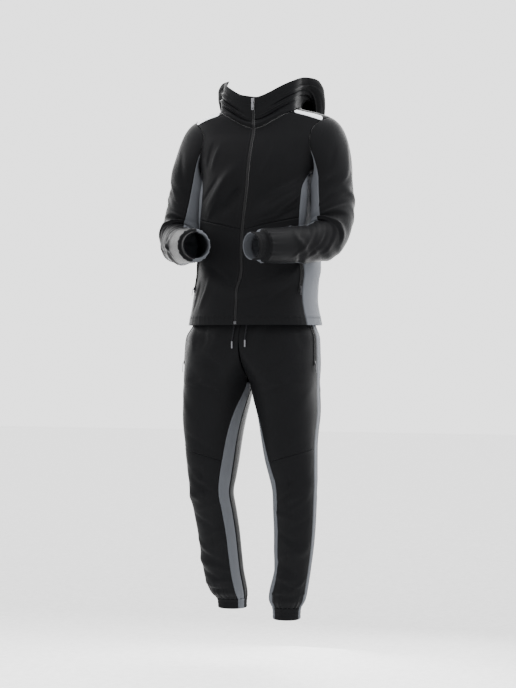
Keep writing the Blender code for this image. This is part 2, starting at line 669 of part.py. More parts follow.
def jacket_body(group, materials, patches, grids):
    """Fronts, side panels, yokes and back, with their outer grids kept."""
    yoke_turn = np.linspace(ARMHOLE_FRONT[0], ARMHOLE_BACK[-1] - 360.0, YOKE_SPANS + 1)
    finish = {"front_lower": "black", "front_upper": "black", "side": "grey", "yoke": "black"}
    for piece, slot in finish.items():
        stations = patches[piece]
        for label, side in SIDES:
            angle = stations[..., 0] * side
            points = body_point(angle, stations[..., 1])
            normal = body_normal(angle, stations[..., 1])
            seam = grids["armhole", side][0]
            if piece == "yoke":
                normal[:, -1] = at_sleeve_angles(seam, yoke_turn)
            if piece == "front_upper":
                normal[MID_ROWS:, -1] = at_sleeve_angles(seam, ARMHOLE_FRONT[::-1])
            grids[piece, label] = (points, normal)
            add_panel(f"jacket_{piece}_{label}", points, normal, materials[slot], group, flip=side < 0)
    stations = patches["back"]
    points = body_point(stations[..., 0], stations[..., 1])
    normal = body_normal(stations[..., 0], stations[..., 1])
    hole_rows = slice(LOW_ROWS + MID_ROWS, None)
    normal[hole_rows, 0] = at_sleeve_angles(grids["armhole", 1.0][0], ARMHOLE_BACK)
    normal[hole_rows, -1] = at_sleeve_angles(grids["armhole", -1.0][0], ARMHOLE_BACK)
    add_panel("jacket_back", points, normal, materials["black"], group)


def hood_grid(neck):
    """Hood surface: rows from the neck seam to the opening, columns by angle."""
    angle = neck[:, 0]
    base = body_point(angle, neck[:, 1])
    turn = np.abs((angle + 180.0) % 360.0 - 180.0)
    signed = (angle + 180.0) % 360.0 - 180.0
    weight = smooth_step((turn - 60.0) / 104.0)
    drop = smooth_step((turn - 84.0) / 88.0)
    heading = np.radians(angle)
    spread = np.stack((np.sin(heading), -np.cos(heading), np.zeros(len(angle))), axis=-1)
    flare = (HOOD_FLARE_LEFT * np.exp(-((signed - 84.0) / 30.0) ** 2)
             + HOOD_FLARE_RIGHT * np.exp(-((signed + 74.0) / 26.0) ** 2))
    rows = []
    for run in HOOD_ROWS:
        out = sum(read(HOOD_PROFILE, HOOD_COLUMNS, name, run) * share
                  for name, share in (("front_out", 1.0 - weight), ("back_out", weight)))
        rise = sum(read(HOOD_PROFILE, HOOD_COLUMNS, name, run) * share
                   for name, share in (("front_up", 1.0 - drop), ("back_up", drop)))
        out = out + flare * run ** 1.5
        row = base + spread * out[:, None] + np.array((0.0, 0.0, 1.0)) * rise[:, None]
        rows.append(row if run == 0.0 else clear_of_body(row, HOOD_CLEARANCE * min(1.0, run / 0.10)))
    return np.stack(rows)


def clear_of_body(points, clearance):
    """Move points straight out from the body's middle until they clear it."""
    height = points[:, 2]
    centre = read(BODY_SECTIONS, BODY_COLUMNS, "centre", height)
    turn = np.radians(read(BODY_SECTIONS, BODY_COLUMNS, "turn", height))
    x = points[:, 0] - centre
    distance = np.hypot(x, points[:, 1])
    angle = np.degrees(np.arctan2(x, -points[:, 1]) - turn)
    body = body_point(angle, height)
    needed = np.hypot(body[:, 0] - centre, body[:, 1]) + clearance
    inside = (height < NECK_BACK + 0.01) & (distance < needed)
    scale = np.where(inside, needed / distance, 1.0)
    moved = points.copy()
    moved[:, 0] = centre + x * scale
    moved[:, 1] = points[:, 1] * scale
    return moved


def hood_and_zip(group, materials, patches):
    """Two hood halves with the stand at the front, and the front zip."""
    neck_left = patches["neck"]
    first = neck_left[:1]
    last = np.stack((360.0 - first[:, 0], first[:, 1]), axis=1)
    side_back = neck_left[:NECK_FRONT_SPANS + YOKE_SPANS][::-1]
    tail = np.stack((360.0 - side_back[:, 0], side_back[:, 1]), axis=1)
    whole = np.concatenate((neck_left, tail))
    whole[-1] = last[0]
    grid = hood_grid(whole)
    normal = grid_normals(grid, False)
    middle = len(whole) // 2
    halves = {"left": slice(0, middle + 1), "right": slice(middle, None)}
    for label, part in halves.items():
        add_panel(f"hood_{label}", grid[:, part], normal[:, part], materials["black"], group)

    rows = patches["zip_rows"]
    edge = np.degrees(ZIP_HALF / read(BODY_SECTIONS, BODY_COLUMNS, "front", rows[:, 1]))
    angle = np.stack((-edge, np.zeros(len(edge)), edge), axis=1)
    level = np.repeat(rows[:, 1:], 3, axis=1)
    body = body_point(angle, level)
    stand_stations = np.stack((angle[-1], level[-1]), axis=1)
    stand = hood_grid(stand_stations)[1:]
    points = np.concatenate((body, stand))
    add_panel("jacket_zip", points, grid_normals(points, False), materials["zip"], group, wall=0.0016)
    return points, grid_normals(points, False)


def arm_frames(axis):
    """Direction, outer and front vectors along a sleeve axis."""
    centre = axis[:, :3]
    along = unit(np.gradient(centre, axis=0))
    front = np.array((0.0, -1.0, 0.0))
    fronts = []
    for direction in along:
        front = unit(front - direction * np.dot(front, direction))
        fronts.append(front)
    fronts = np.array(fronts)
    return along, fronts


def sleeve_grid(table, side):
    """Sleeve surface: rows from the armhole to the cuff seam, columns round it."""
    degrees = np.array(SLEEVE_ANGLES)
    turn = np.radians(degrees)
    axis, length = arm_axis(table, 240)
    along, fronts = arm_frames(axis)
    outers = side * np.cross(fronts, along)
    stations = np.linspace(SHOULDER_LENGTH, length - CUFF_LENGTH, SLEEVE_RINGS)
    spot = np.round(stations / length * 239).astype(int)
    tube = (axis[spot, None, :3]
            + outers[spot, None, :] * (axis[spot, 3:4] * np.cos(turn))[..., None]
            + fronts[spot, None, :] * (axis[spot, 4:5] * np.sin(turn))[..., None])
    angle, height = armhole(degrees)
    seam = body_point(angle * side, height)
    leave = np.stack((side * (0.60 + 0.40 * np.cos(turn)),
                      -0.35 * np.sin(turn),
                      -0.35 - 0.45 * (1.0 - np.cos(turn))), axis=-1)
    span = np.linalg.norm(tube[0] - seam, axis=1, keepdims=True)
    start = 0.85 * span * unit(leave)
    end = 0.85 * span * along[spot[0]]
    rows = []
    for t in np.linspace(0.0, 1.0, SHOULDER_RINGS + 1)[:-1]:
        rows.append((1 + 2 * t) * (1 - t) ** 2 * seam + t * (1 - t) ** 2 * start
                    + t * t * (3 - 2 * t) * tube[0] - t * t * (1 - t) * end)
    grid = np.concatenate((np.stack(rows), tube))
    inner = np.abs(degrees - 190.0) < INNER_ARM_HALF
    for row in range(1, SHOULDER_RINGS + 3):
        gap = ARMPIT_CLEARANCE * min(1.0, row / 2.0)
        grid[row, inner] = clear_of_body(grid[row, inner], gap)
    normal = side * grid_normals(grid, True)
    grid = grid + normal * sleeve_folds(grid, degrees)[..., None]
    grid = np.concatenate((grid, cuff_rows(axis, length, outers, fronts, turn)))
    return grid, side * grid_normals(grid, True)


def sleeve_folds(grid, degrees):
    """Fold height over a sleeve, by distance along it and angle round it."""
    steps = np.linalg.norm(np.diff(grid.mean(axis=1), axis=0), axis=1)
    run = np.concatenate(([0.0], np.cumsum(steps)))[:, None]
    height = fold_height(SLEEVE_FOLDS, np.broadcast_to(degrees, grid.shape[:2]), run, SLEEVE_RADIUS)
    fade = smooth_step(run / 0.05) * smooth_step((run[-1] - run) / 0.02)
    return height * fade


def sleeves(group, materials, grids):
    """Upper and under sleeves with their cuffs."""
    for label, side in SIDES:
        grid, normal = grids["sleeve", side]
        normal[0] = grids["armhole", side][1]
        closed = np.concatenate((grid, grid[:, :1]), axis=1)
        closed_normal = np.concatenate((normal, normal[:, :1]), axis=1)
        upper = slice(0, UNDER_START + 1)
        under = slice(UNDER_START, None)
        seam = SHOULDER_RINGS + SLEEVE_RINGS - 1
        rows = slice(0, seam + 1)
        flip = side < 0
        add_panel(f"sleeve_upper_{label}", closed[rows, upper], closed_normal[rows, upper],
                  materials["black"], group, flip=flip)
        add_panel(f"sleeve_under_{label}", closed[rows, under], closed_normal[rows, under],
                  materials["grey"], group, flip=flip)
        add_panel(f"cuff_{label}", grid[seam:], normal[seam:], materials["black"], group,
                  wrap=True, flip=flip, wall=CUFF_WALL)


def cuff_rows(axis, length, outers, fronts, turn):
    """Rings of the gathered wrist cuff that takes up the end of the sleeve."""
    rows = []
    for share in (0.22, 0.6, 1.0):
        spot = int(round((length - CUFF_LENGTH * (1.0 - share)) / length * 239))
        rows.append(axis[spot, :3] + outers[spot] * (CUFF_HALF * np.cos(turn))[:, None]
                    + fronts[spot] * (CUFF_HALF * np.sin(turn))[:, None])
    return np.stack(rows)


def hip_point(angle_degrees, height):
    """Joggers' surface above the fork, a squarish oval round the hips."""
    angle = np.radians(angle_degrees)
    front = read(HIP_SECTIONS, HIP_COLUMNS, "front", height)
    back = read(HIP_SECTIONS, HIP_COLUMNS, "back", height)
    depth = np.where(np.cos(angle) > 0.0, front, back)
    half_width = read(HIP_SECTIONS, HIP_COLUMNS, "half_width", height)
    radius = oval_radius(angle, half_width, depth, HIP_SQUARENESS)
    x = read(HIP_SECTIONS, HIP_COLUMNS, "centre", height) + radius * np.sin(angle)
    return np.stack((x, -radius * np.cos(angle), np.broadcast_to(height, x.shape)), axis=-1)


def leg_columns(height, fork):
    """Angles of one row's columns: front, outer stripe, back and inner stripe."""
    inner = float(read(INNER_STRIPE, INNER_COLUMNS, "angle", height))
    radius = 0.060 + 0.045 * float(smooth_step((height - 0.50) / 0.30))
    half = math.degrees(float(read(INNER_STRIPE, INNER_COLUMNS, "half_width", height)) / radius)
    outer = math.degrees(OUTER_STRIPE_HALF / (radius + 0.045 * float(smooth_step((height - 0.82) / 0.12))))
    start = -(inner - half) * fork
    end = 180.0 + (180.0 - inner - half) * fork
    front_edge = OUTER_STRIPE_ANGLE - outer
    back_edge = OUTER_STRIPE_ANGLE + outer
    runs = [np.linspace(start, front_edge, FRONT_SPANS + 1),
            np.linspace(front_edge, back_edge, STRIPE_SPANS + 1)[1:],
            np.linspace(back_edge, end, BACK_SPANS + 1)[1:],
            np.linspace(end, 360.0 + start, STRIPE_SPANS + 1)[1:-1]]
    return np.concatenate(runs)


def leg_point(label, side, angle_degrees, height, fork):
    """Joggers' surface for one leg and its half of the seat."""
    table = LEG_LEFT if side > 0 else LEG_RIGHT
    angle = np.radians(angle_degrees)
    middle = read(HIP_SECTIONS, HIP_COLUMNS, "centre", height)
    hip_half = read(HIP_SECTIONS, HIP_COLUMNS, "half_width", height)
    reach = 0.5 * hip_half
    below = height <= CROTCH_HEIGHT
    if below:
        x_centre = read(table, LEG_COLUMNS, "x", height)
        y_centre = read(table, LEG_COLUMNS, "y", height)
        out_width = read(table, LEG_COLUMNS, "half_width", height)
        in_width = out_width
        front = back = read(table, LEG_COLUMNS, "half_depth", height)
    else:
        shift = fork * reach
        x_centre = middle + side * shift
        y_centre = 0.0
        out_width = hip_half - shift
        start = np.radians(np.maximum(89.0 * fork, 0.5))
        in_width = shift / np.sin(start)
        front = read(HIP_SECTIONS, HIP_COLUMNS, "front", height)
        back = read(HIP_SECTIONS, HIP_COLUMNS, "back", height)
    depth = np.where(np.cos(angle) > 0.0, front, back)
    radius = oval_radius(angle, out_width, depth, HIP_SQUARENESS)
    outside = np.sin(angle) >= 0.0
    sideways = np.where(outside, radius * np.sin(angle), in_width * np.sin(angle))
    forward = np.where(outside, -radius * np.cos(angle), -depth * np.cos(angle))
    fold = fold_height(LEG_FOLDS[label], angle_degrees, height, 0.075)
    size = np.hypot(sideways, forward)
    grow = 1.0 + np.where(outside, fold, 0.4 * fold) / np.maximum(size, 0.02)
    x = x_centre + side * sideways * grow
    return np.stack((x, y_centre + forward * grow, np.broadcast_to(height, x.shape)), axis=-1)


def leg_heights(label):
    """Row heights from the ankle cuff to the waist, with each row's fork share."""
    top = ANKLE_CUFF_TOP[label]
    cuff = ANKLE_CUFF_END + (top - ANKLE_CUFF_END) * np.array((0.0, 0.5, 0.8))
    leg = np.concatenate((cuff, np.linspace(top, CROTCH_HEIGHT, LEG_ROWS + 1)))
    leg[CUFF_ROWS + KNEE_ROW] = KNEE_SEAM
    forks = np.linspace(1.0, 0.0, FORK_ROWS + 1)[1:]
    fork = FORK_TOP - (FORK_TOP - CROTCH_HEIGHT) * np.sin(0.5 * math.pi * forks)
    hip = np.linspace(FORK_TOP, WAIST_SEAM, HIP_ROWS + 1)[1:]
    heights = np.concatenate((leg, fork, hip))
    shares = np.concatenate((np.ones(len(leg)), forks, np.zeros(len(hip))))
    return heights, shares


def leg_grid(label, side):
    """Whole surface of one jogger half, with its outward normals."""
    heights, shares = leg_heights(label)
    rows = []
    for height, share in zip(heights, shares):
        angle = leg_columns(height, share)
        lean = KNEE_TILT * math.exp(-((height - KNEE_SEAM) / 0.08) ** 2)
        row = leg_point(label, side, angle, height, share)
        row[:, 2] += lean * np.sin(np.radians(angle))
        rows.append(row)
    grid = np.stack(rows)
    normal = side * grid_normals(grid, True)
    seam_rows = slice(CUFF_ROWS + LEG_ROWS + 1, None)
    end = FRONT_SPANS + STRIPE_SPANS + BACK_SPANS
    open_normal = side * grid_normals(grid[seam_rows, :end + 1], False)
    for column in (0, end):
        facing = open_normal[:, column]
        facing[:, 0] = side * np.minimum(side * facing[:, 0], 0.0)
        open_normal[:, column] = unit(facing)
    normal[seam_rows, :end + 1] = open_normal
    return grid, normal


def joggers(group, materials):
    """Fronts, backs, stripes and ankle cuffs of both legs, and the waistband."""
    grids = {}
    outer_start = FRONT_SPANS
    back_start = FRONT_SPANS + STRIPE_SPANS
    inner_start = back_start + BACK_SPANS
    knee = CUFF_ROWS + KNEE_ROW
    fork = CUFF_ROWS + LEG_ROWS
    for label, side in SIDES:
        grid, normal = leg_grid(label, side)
        grids[label] = (grid, normal)
        flip = side < 0
        ring = np.concatenate((grid, grid[:, :1]), axis=1)
        ring_normal = np.concatenate((normal, normal[:, :1]), axis=1)
        pieces = {
            "front_lower": (slice(CUFF_ROWS, knee + 1), slice(0, outer_start + 1), "black"),
            "front_upper": (slice(knee, None), slice(0, outer_start + 1), "black"),
            "outer_stripe": (slice(CUFF_ROWS, None), slice(outer_start, back_start + 1), "grey"),
            "back": (slice(CUFF_ROWS, None), slice(back_start, inner_start + 1), "black"),
            "inner_stripe": (slice(CUFF_ROWS, fork + 1), slice(inner_start, None), "grey"),
        }
        for name, (rows, columns, slot) in pieces.items():
            add_panel(f"joggers_{name}_{label}", ring[rows, columns], ring_normal[rows, columns],
                      materials[slot], group, flip=flip)
        add_panel(f"ankle_cuff_{label}", grid[:CUFF_ROWS + 1], normal[:CUFF_ROWS + 1],
                  materials["black"], group, wrap=True, flip=flip, wall=CUFF_WALL)
    left = leg_columns(WAIST_SEAM, 0.0)[:inner_start + 1]
    around = np.concatenate((left, (360.0 - left)[::-1][1:-1]))
    levels = np.linspace(WAIST_SEAM, WAIST_TOP, 3)[:, None] + np.zeros(len(around))
    band = hip_point(around[None, :] + np.zeros((3, 1)), levels)
    band_normal = grid_normals(band, True)
    add_panel("waistband", band, band_normal, materials["black"], group, wrap=True, wall=0.0030)
    return grids, band


def strips(group, materials, grids):
    """Silver strips along the front yoke seams."""
    for label, side in SIDES:
        points, normal = grids["yoke", label]
        laid, facing = lay_on(points, normal, (0.10, 0.42), np.linspace(0.25, 2.85, 8), LAY_GAP + 0.0010)
        outer = laid
        inner = laid - 0.0010 * facing
        if side < 0:
            outer, inner = outer[:, ::-1], inner[:, ::-1]
        add_object(f"shoulder_strip_{label}", shell_mesh(f"shoulder_strip_{label}", outer, inner),
                   materials["silver"], group)


def zip_strip(name, points, normal, rows, columns, group, materials, side):
    """Flat coil zip laid on a panel; returns its end point and outward normal."""
    laid, facing = lay_on(points, normal, rows, columns, LAY_GAP + 0.0014)
    outer, inner = laid, laid - 0.0014 * facing
    middle = laid.mean(axis=1)
    if side < 0:
        outer, inner = outer[:, ::-1], inner[:, ::-1]
    add_object(name, shell_mesh(name, outer, inner), materials["zip"], group)
    return middle, facing.mean(axis=1)


def facing_turn(normal):
    """Turn about the vertical that brings -Y to face along a normal."""
    return math.atan2(normal[0], -normal[1])


def rounded_box(name, size, place, turn, lean, material, group, edge=0.0004):
    """Box primitive (wide, deep, tall) with rounded edges, turned about Z."""
    mesh = bpy.data.meshes.new(name)
    form = bmesh.new()
    bmesh.ops.create_cube(form, size=1.0)
    bmesh.ops.scale(form, vec=size, verts=form.verts)
    form.to_mesh(mesh)
    form.free()
    item = add_object(name, mesh, material, group)
    item.location = place
    item.rotation_euler = (lean, 0.0, turn)
    bevel = item.modifiers.new("Rounded edges", "BEVEL")
    bevel.width = edge
    bevel.segments = 1
    return item


def pull_mesh(name, width, length, thick):
    """Pull tab that hangs from its origin, with a slot near its lower end."""
    outline = bpy.data.curves.new(name, "CURVE")
    outline.dimensions = "2D"
    outline.fill_mode = "BOTH"
    outline.extrude = 0.5 * thick
    half = 0.5 * width
    neck = 0.36 * width
    top = PULL_HINGE_HALF
    points = ((-neck, top), (neck, top), (neck, -0.22 * length), (half, -0.34 * length),
              (half, -0.94 * length), (0.7 * half, -length), (-0.7 * half, -length),
              (-half, -0.94 * length), (-half, -0.34 * length), (-neck, -0.22 * length))
    slot = ((-0.4 * half, -0.74 * length), (-0.4 * half, -0.88 * length),
            (0.4 * half, -0.88 * length), (0.4 * half, -0.74 * length))
    for loop in (points, slot):
        line = outline.splines.new("POLY")
        line.points.add(len(loop) - 1)
        for point, (x, y) in zip(line.points, loop):
            point.co = (x, y, 0.0, 1.0)
        line.use_cyclic_u = True
    drawn = bpy.data.objects.new(name + "_outline", outline)
    bpy.context.scene.collection.objects.link(drawn)
    bpy.context.view_layer.update()
    mesh = bpy.data.meshes.new_from_object(drawn.evaluated_get(bpy.context.evaluated_depsgraph_get()))
    bpy.data.objects.remove(drawn, do_unlink=True)
    form = bmesh.new()
    form.from_mesh(mesh)
    bmesh.ops.remove_doubles(form, verts=form.verts, dist=0.00001)
    bmesh.ops.rotate(form, verts=form.verts, cent=(0.0, 0.0, 0.0),
                     matrix=Matrix.Rotation(0.5 * math.pi, 3, "X"))
    form.to_mesh(mesh)
    form.free()
    return mesh


def slider_and_pull(prefix, place, normal, size, pull_length, group, materials):
    """Zip slider on a strip, and its pull tab hinged at the slider's front."""
    wide, deep, tall = size
    normal = unit(np.array(normal, dtype=float))
    turn = facing_turn(normal)
    lean = -math.asin(normal[2])
    sideways = np.array((math.cos(turn), math.sin(turn), 0.0))
    upward = np.cross(normal, sideways) * -1.0
    centre = np.array(place) + normal * (SLIDER_GAP + 0.5 * deep) - (0.0, 0.0, HOLD_HEIGHT)
    rounded_box(f"{prefix}_slider", size, centre, turn, lean, materials["metal"], group)
    hinge = centre + normal * (0.5 * deep + HINGE_GAP) + upward * 0.25 * tall
    pull = add_object(f"{prefix}_pull", pull_mesh(f"{prefix}_pull", wide * 0.8, pull_length, PULL_THICK),
                      materials["metal"], group)
    pull.location = hinge
    pull.rotation_euler = (lean, 0.0, turn)
    return hinge


def hardware(group, materials, jacket_grids, zip_points, zip_normal, leg_grids):
    """Zip strips of the pockets, all sliders and pulls, and the bottom stop."""
    top = zip_points[-2, 1]
    slider_and_pull("jacket_zip", top, zip_normal[-2, 1], MAIN_SLIDER, MAIN_PULL, group, materials)
    low = zip_points[0, 1] + np.array((0.0, -0.0012 - SLIDER_GAP, 0.006))
    low[2] -= HOLD_HEIGHT
    rounded_box("jacket_zip_stop", STOP_SIZE, low, facing_turn(zip_normal[0, 1]), 0.0,
                materials["dark_metal"], group)
    for label, side in SIDES:
        points, normal = jacket_grids["front_lower", label]
        middle, facing = zip_strip(f"jacket_pocket_zip_{label}", points, normal,
                                   JACKET_POCKET_ROWS, JACKET_POCKET_COLUMNS, group, materials, side)
        slider_and_pull(f"jacket_pocket_{label}", middle[0] + 0.012 * unit(middle[1] - middle[0]), facing[0],
                        POCKET_SLIDER, JACKET_POCKET_PULL, group, materials)
        grid, normal = leg_grids[label]
        middle, facing = zip_strip(f"joggers_pocket_zip_{label}", grid, normal, JOGGERS_POCKET_ROWS,
                                   JOGGERS_POCKET_COLUMNS, group, materials, side)
        slider_and_pull(f"joggers_pocket_{label}", middle[0] + 0.010 * unit(middle[1] - middle[0]), facing[0],
                        POCKET_SLIDER, JOGGERS_POCKET_PULL, group, materials)


def drawstrings(group, materials):
    """Two drawstring ends below the waistband with their metal tips."""
    for label, route in CORD_ROUTES.items():
        smooth = spline(route, np.linspace(0.0, 1.0, CORD_POINTS))
        line = bpy.data.curves.new(f"drawstring_{label}", "CURVE")
        line.dimensions = "3D"
        line.bevel_depth = 0.5 * CORD_DIAMETER
        line.bevel_resolution = 2
        line.use_fill_caps = True
        path = line.splines.new("POLY")
        path.points.add(CORD_POINTS - 1)
        for point, spot in zip(path.points, smooth):
            point.co = (spot[0], spot[1], spot[2] - HOLD_HEIGHT, 1.0)
        item = bpy.data.objects.new(f"drawstring_{label}", line)
        line.materials.append(materials["cord"])
        group.objects.link(item)
        end = smooth[-1] + (0.0, 0.0, -TIP_GAP - 0.5 * TIP_LENGTH - HOLD_HEIGHT)
        mesh = bpy.data.meshes.new(f"drawstring_tip_{label}")
        form = bmesh.new()
        bmesh.ops.create_cone(form, cap_ends=True, segments=10, radius1=0.5 * TIP_DIAMETER,
                              radius2=0.5 * TIP_DIAMETER, depth=TIP_LENGTH)
        form.to_mesh(mesh)
        form.free()
        tip = add_object(f"drawstring_tip_{label}", mesh, materials["metal"], group)
        tip.location = end


def build():
    """Make the whole suit."""
    clear_scene()
    group = new_collection("tracksuit")
    materials = {
        "black": new_material("Black knit", CLOTH_BLACK, 0.62),
        "grey": new_material("Grey knit", CLOTH_GREY, 0.66),
        "silver": new_material("Silver strip", STRIP_SILVER, 0.35),
        "zip": new_material("Zip tape", CLOTH_BLACK, 0.5),
        "cord": new_material("Drawstring", CLOTH_BLACK, 0.8),
        "metal": new_material("Zip metal", METAL, 0.3, 1.0),
        "dark_metal": new_material("Zip stop", DARK_METAL, 0.4, 1.0),
    }
    patches = jacket_patches()
    grids = {}
    for _, side in SIDES:
        grids["sleeve", side] = sleeve_grid(ARM_LEFT if side > 0 else ARM_RIGHT, side)
        grids["armhole", side] = armhole_normals(grids, side)
    jacket_body(group, materials, patches, grids)
    zip_points, zip_normal = hood_and_zip(group, materials, patches)
    sleeves(group, materials, grids)
    leg_grids, _ = joggers(group, materials)
    strips(group, materials, grids)
    hardware(group, materials, grids, zip_points, zip_normal, leg_grids)
    drawstrings(group, materials)


build()
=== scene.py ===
"""Looks of a hooded tracksuit: black knit with grey panels, zips, cuffs and drawstring."""
import math

import bpy
import numpy as np
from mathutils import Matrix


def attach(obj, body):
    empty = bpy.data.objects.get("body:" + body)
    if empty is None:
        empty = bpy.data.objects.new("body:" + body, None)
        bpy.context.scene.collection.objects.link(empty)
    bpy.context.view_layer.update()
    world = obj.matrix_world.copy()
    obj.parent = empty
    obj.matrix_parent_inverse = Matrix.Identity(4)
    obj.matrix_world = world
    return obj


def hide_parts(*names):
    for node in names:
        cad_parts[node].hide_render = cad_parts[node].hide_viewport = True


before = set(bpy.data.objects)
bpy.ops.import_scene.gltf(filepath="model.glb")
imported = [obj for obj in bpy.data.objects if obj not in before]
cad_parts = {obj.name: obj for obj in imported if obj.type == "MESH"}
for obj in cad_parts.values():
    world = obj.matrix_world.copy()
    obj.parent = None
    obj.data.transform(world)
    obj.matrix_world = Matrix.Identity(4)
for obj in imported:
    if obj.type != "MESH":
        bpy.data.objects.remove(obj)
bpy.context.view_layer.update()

# Lengths in metres, front to -Y, heights above the ground below the joggers.
HOLD_HEIGHT = 1.560
WALL = 0.0016
CUFF_WALL = 0.0022
SEAM_GAP = 0.00026

# Camera and view, from the photograph's framing.
VIEW_TURN = 18.0
VIEW_DISTANCE = 4.5
VIEW_HEIGHT = 0.92
FOCAL_PIXELS = 1607.0
IMAGE_SIZE = (516, 688)
SENSOR = 36.0


def add_camera():
    """Level camera in front and to the wearer's left of the suit."""
    turn = math.radians(VIEW_TURN)
    data = bpy.data.cameras.new("camera")
    data.sensor_fit = "VERTICAL"
    data.sensor_height = SENSOR
    data.lens = SENSOR * FOCAL_PIXELS / IMAGE_SIZE[1]
    data.clip_end = 60.0
    camera = bpy.data.objects.new("camera", data)
    camera.location = (VIEW_DISTANCE * math.sin(turn), -VIEW_DISTANCE * math.cos(turn),
                       VIEW_HEIGHT - HOLD_HEIGHT)
    camera.rotation_euler = (math.radians(90.0), 0.0, turn)
    bpy.context.scene.collection.objects.link(camera)
    bpy.context.scene.camera = camera


add_camera()

CORD_DIAMETER = 0.0035
CORD_POINTS = 18
CORD_ROUTES = {
    "right": ((-0.0290, -0.1130, 1.046), (-0.0292, -0.1146, 1.030), (-0.0285, -0.1174, 1.005),
              (-0.0280, -0.1222, 0.980), (-0.0290, -0.1280, 0.955), (-0.0326, -0.1312, 0.928)),
    "left": ((0.0060, -0.1130, 1.046), (0.0062, -0.1146, 1.030), (0.0068, -0.1174, 1.005),
             (0.0074, -0.1222, 0.980), (0.0064, -0.1280, 0.955), (0.0046, -0.1312, 0.932)),
}


def spline(points, places):
    """Catmull-Rom curve: a cubic through each pair of points whose slope at a
    point is half the step between its two neighbours."""
    rows = np.array(points, dtype=float)
    last = len(rows) - 1
    padded = np.vstack((2 * rows[0] - rows[1], rows, 2 * rows[-1] - rows[-2]))
    spot = np.clip(np.asarray(places, dtype=float), 0.0, 1.0) * last
    cell = np.clip(spot.astype(int), 0, last - 1)
    t = (spot - cell)[:, None]
    p0, p1, p2, p3 = (padded[cell + shift] for shift in range(4))
    bend = (2 * p0 - 5 * p1 + 4 * p2 - p3) * t ** 2 + (3 * p1 - p0 - 3 * p2 + p3) * t ** 3
    return 0.5 * (2 * p1 + (p2 - p0) * t + bend)


def unit(vectors):
    """Vectors divided by their own length."""
    length = np.linalg.norm(vectors, axis=-1, keepdims=True)
    return vectors / np.maximum(length, 1e-12)


def smooth_step(value):
    """3t^2 - 2t^3, with t the value held between 0 and 1."""
    t = np.clip(value, 0.0, 1.0)
    return t * t * (3.0 - 2.0 * t)


def link(name, mesh, *materials):
    """Object at the origin with its materials, riding on the still body."""
    item = bpy.data.objects.new(name, mesh)
    for material in materials:
        mesh.materials.append(material)
    bpy.context.scene.collection.objects.link(item)
    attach(item, "root")
    return item


def grid_faces(rows, columns, wrap=False, start=0):
    """Quads of a grid whose points run row by row; wrap joins the last column."""
    index = start + np.arange(rows * columns).reshape(rows, columns)
    if wrap:
        index = np.concatenate((index, index[:, :1]), axis=1)
    return np.stack((index[:-1, :-1], index[:-1, 1:], index[1:, 1:], index[1:, :-1]), axis=-1).reshape(-1, 4)


def set_uv(mesh, coordinates):
    """Store per-point (u, v) lengths in metres as the mesh's UV map."""
    layer = mesh.uv_layers.new(name="cloth")
    corner = np.empty(len(mesh.loops), dtype=np.int32)
    mesh.loops.foreach_get("vertex_index", corner)
    layer.data.foreach_set("uv", np.ascontiguousarray(coordinates[corner], dtype=np.float32).ravel())


def frames_along(path):
    """Direction, side and up vectors along a path: side is the direction turned
    level, up is square to both."""
    along = unit(np.gradient(path, axis=0))
    side = np.cross(along, (0.0, 0.0, 1.0))
    weak = np.linalg.norm(side, axis=1) < 0.2
    side[weak] = np.cross(along[weak], (0.0, 1.0, 0.0))
    side = unit(side)
    return along, side, np.cross(side, along)


def tube_mesh(name, path, radius, around=12):
    """Closed tube: a ring of radius(s) carried along a path, capped by its ends."""
    _, side, up = frames_along(path)
    turn = np.linspace(0.0, 2.0 * math.pi, around, endpoint=False)
    ring = np.cos(turn)[None, :, None] * side[:, None] + np.sin(turn)[None, :, None] * up[:, None]
    size = np.broadcast_to(radius, (len(path),) if np.ndim(radius) < 2 else np.shape(radius))
    size = size[:, None] if size.ndim == 1 else size
    points = path[:, None] + ring * size[..., None]
    count = len(path)
    mesh = bpy.data.meshes.new(name)
    flat = np.concatenate((points.reshape(-1, 3), path[:1], path[-1:]))
    faces = grid_faces(count, around, wrap=True)[:, ::-1].tolist()
    first = np.arange(around)
    last = first + (count - 1) * around
    faces += np.stack((first, np.roll(first, -1), np.full(around, count * around)), axis=1).tolist()
    faces += np.stack((np.roll(last, -1), last, np.full(around, count * around + 1)), axis=1).tolist()
    mesh.from_pydata(flat.tolist(), [], faces)
    mesh.update()
    run = np.concatenate(([0.0], np.cumsum(np.linalg.norm(np.diff(path, axis=0), axis=1))))
    girth = turn * float(np.mean(size))
    grid = np.stack((np.broadcast_to(girth[None, :], (count, around)),
                     np.broadcast_to(run[:, None], (count, around))), axis=-1).reshape(-1, 2)
    set_uv(mesh, np.concatenate((grid, [[0.0, 0.0]], [[0.0, run[-1]]])))
    mesh.shade_smooth()
    return mesh


def down(points):
    """Move heights above the ground to heights from the hold point."""
    return np.asarray(points, dtype=float) - np.array((0.0, 0.0, HOLD_HEIGHT))


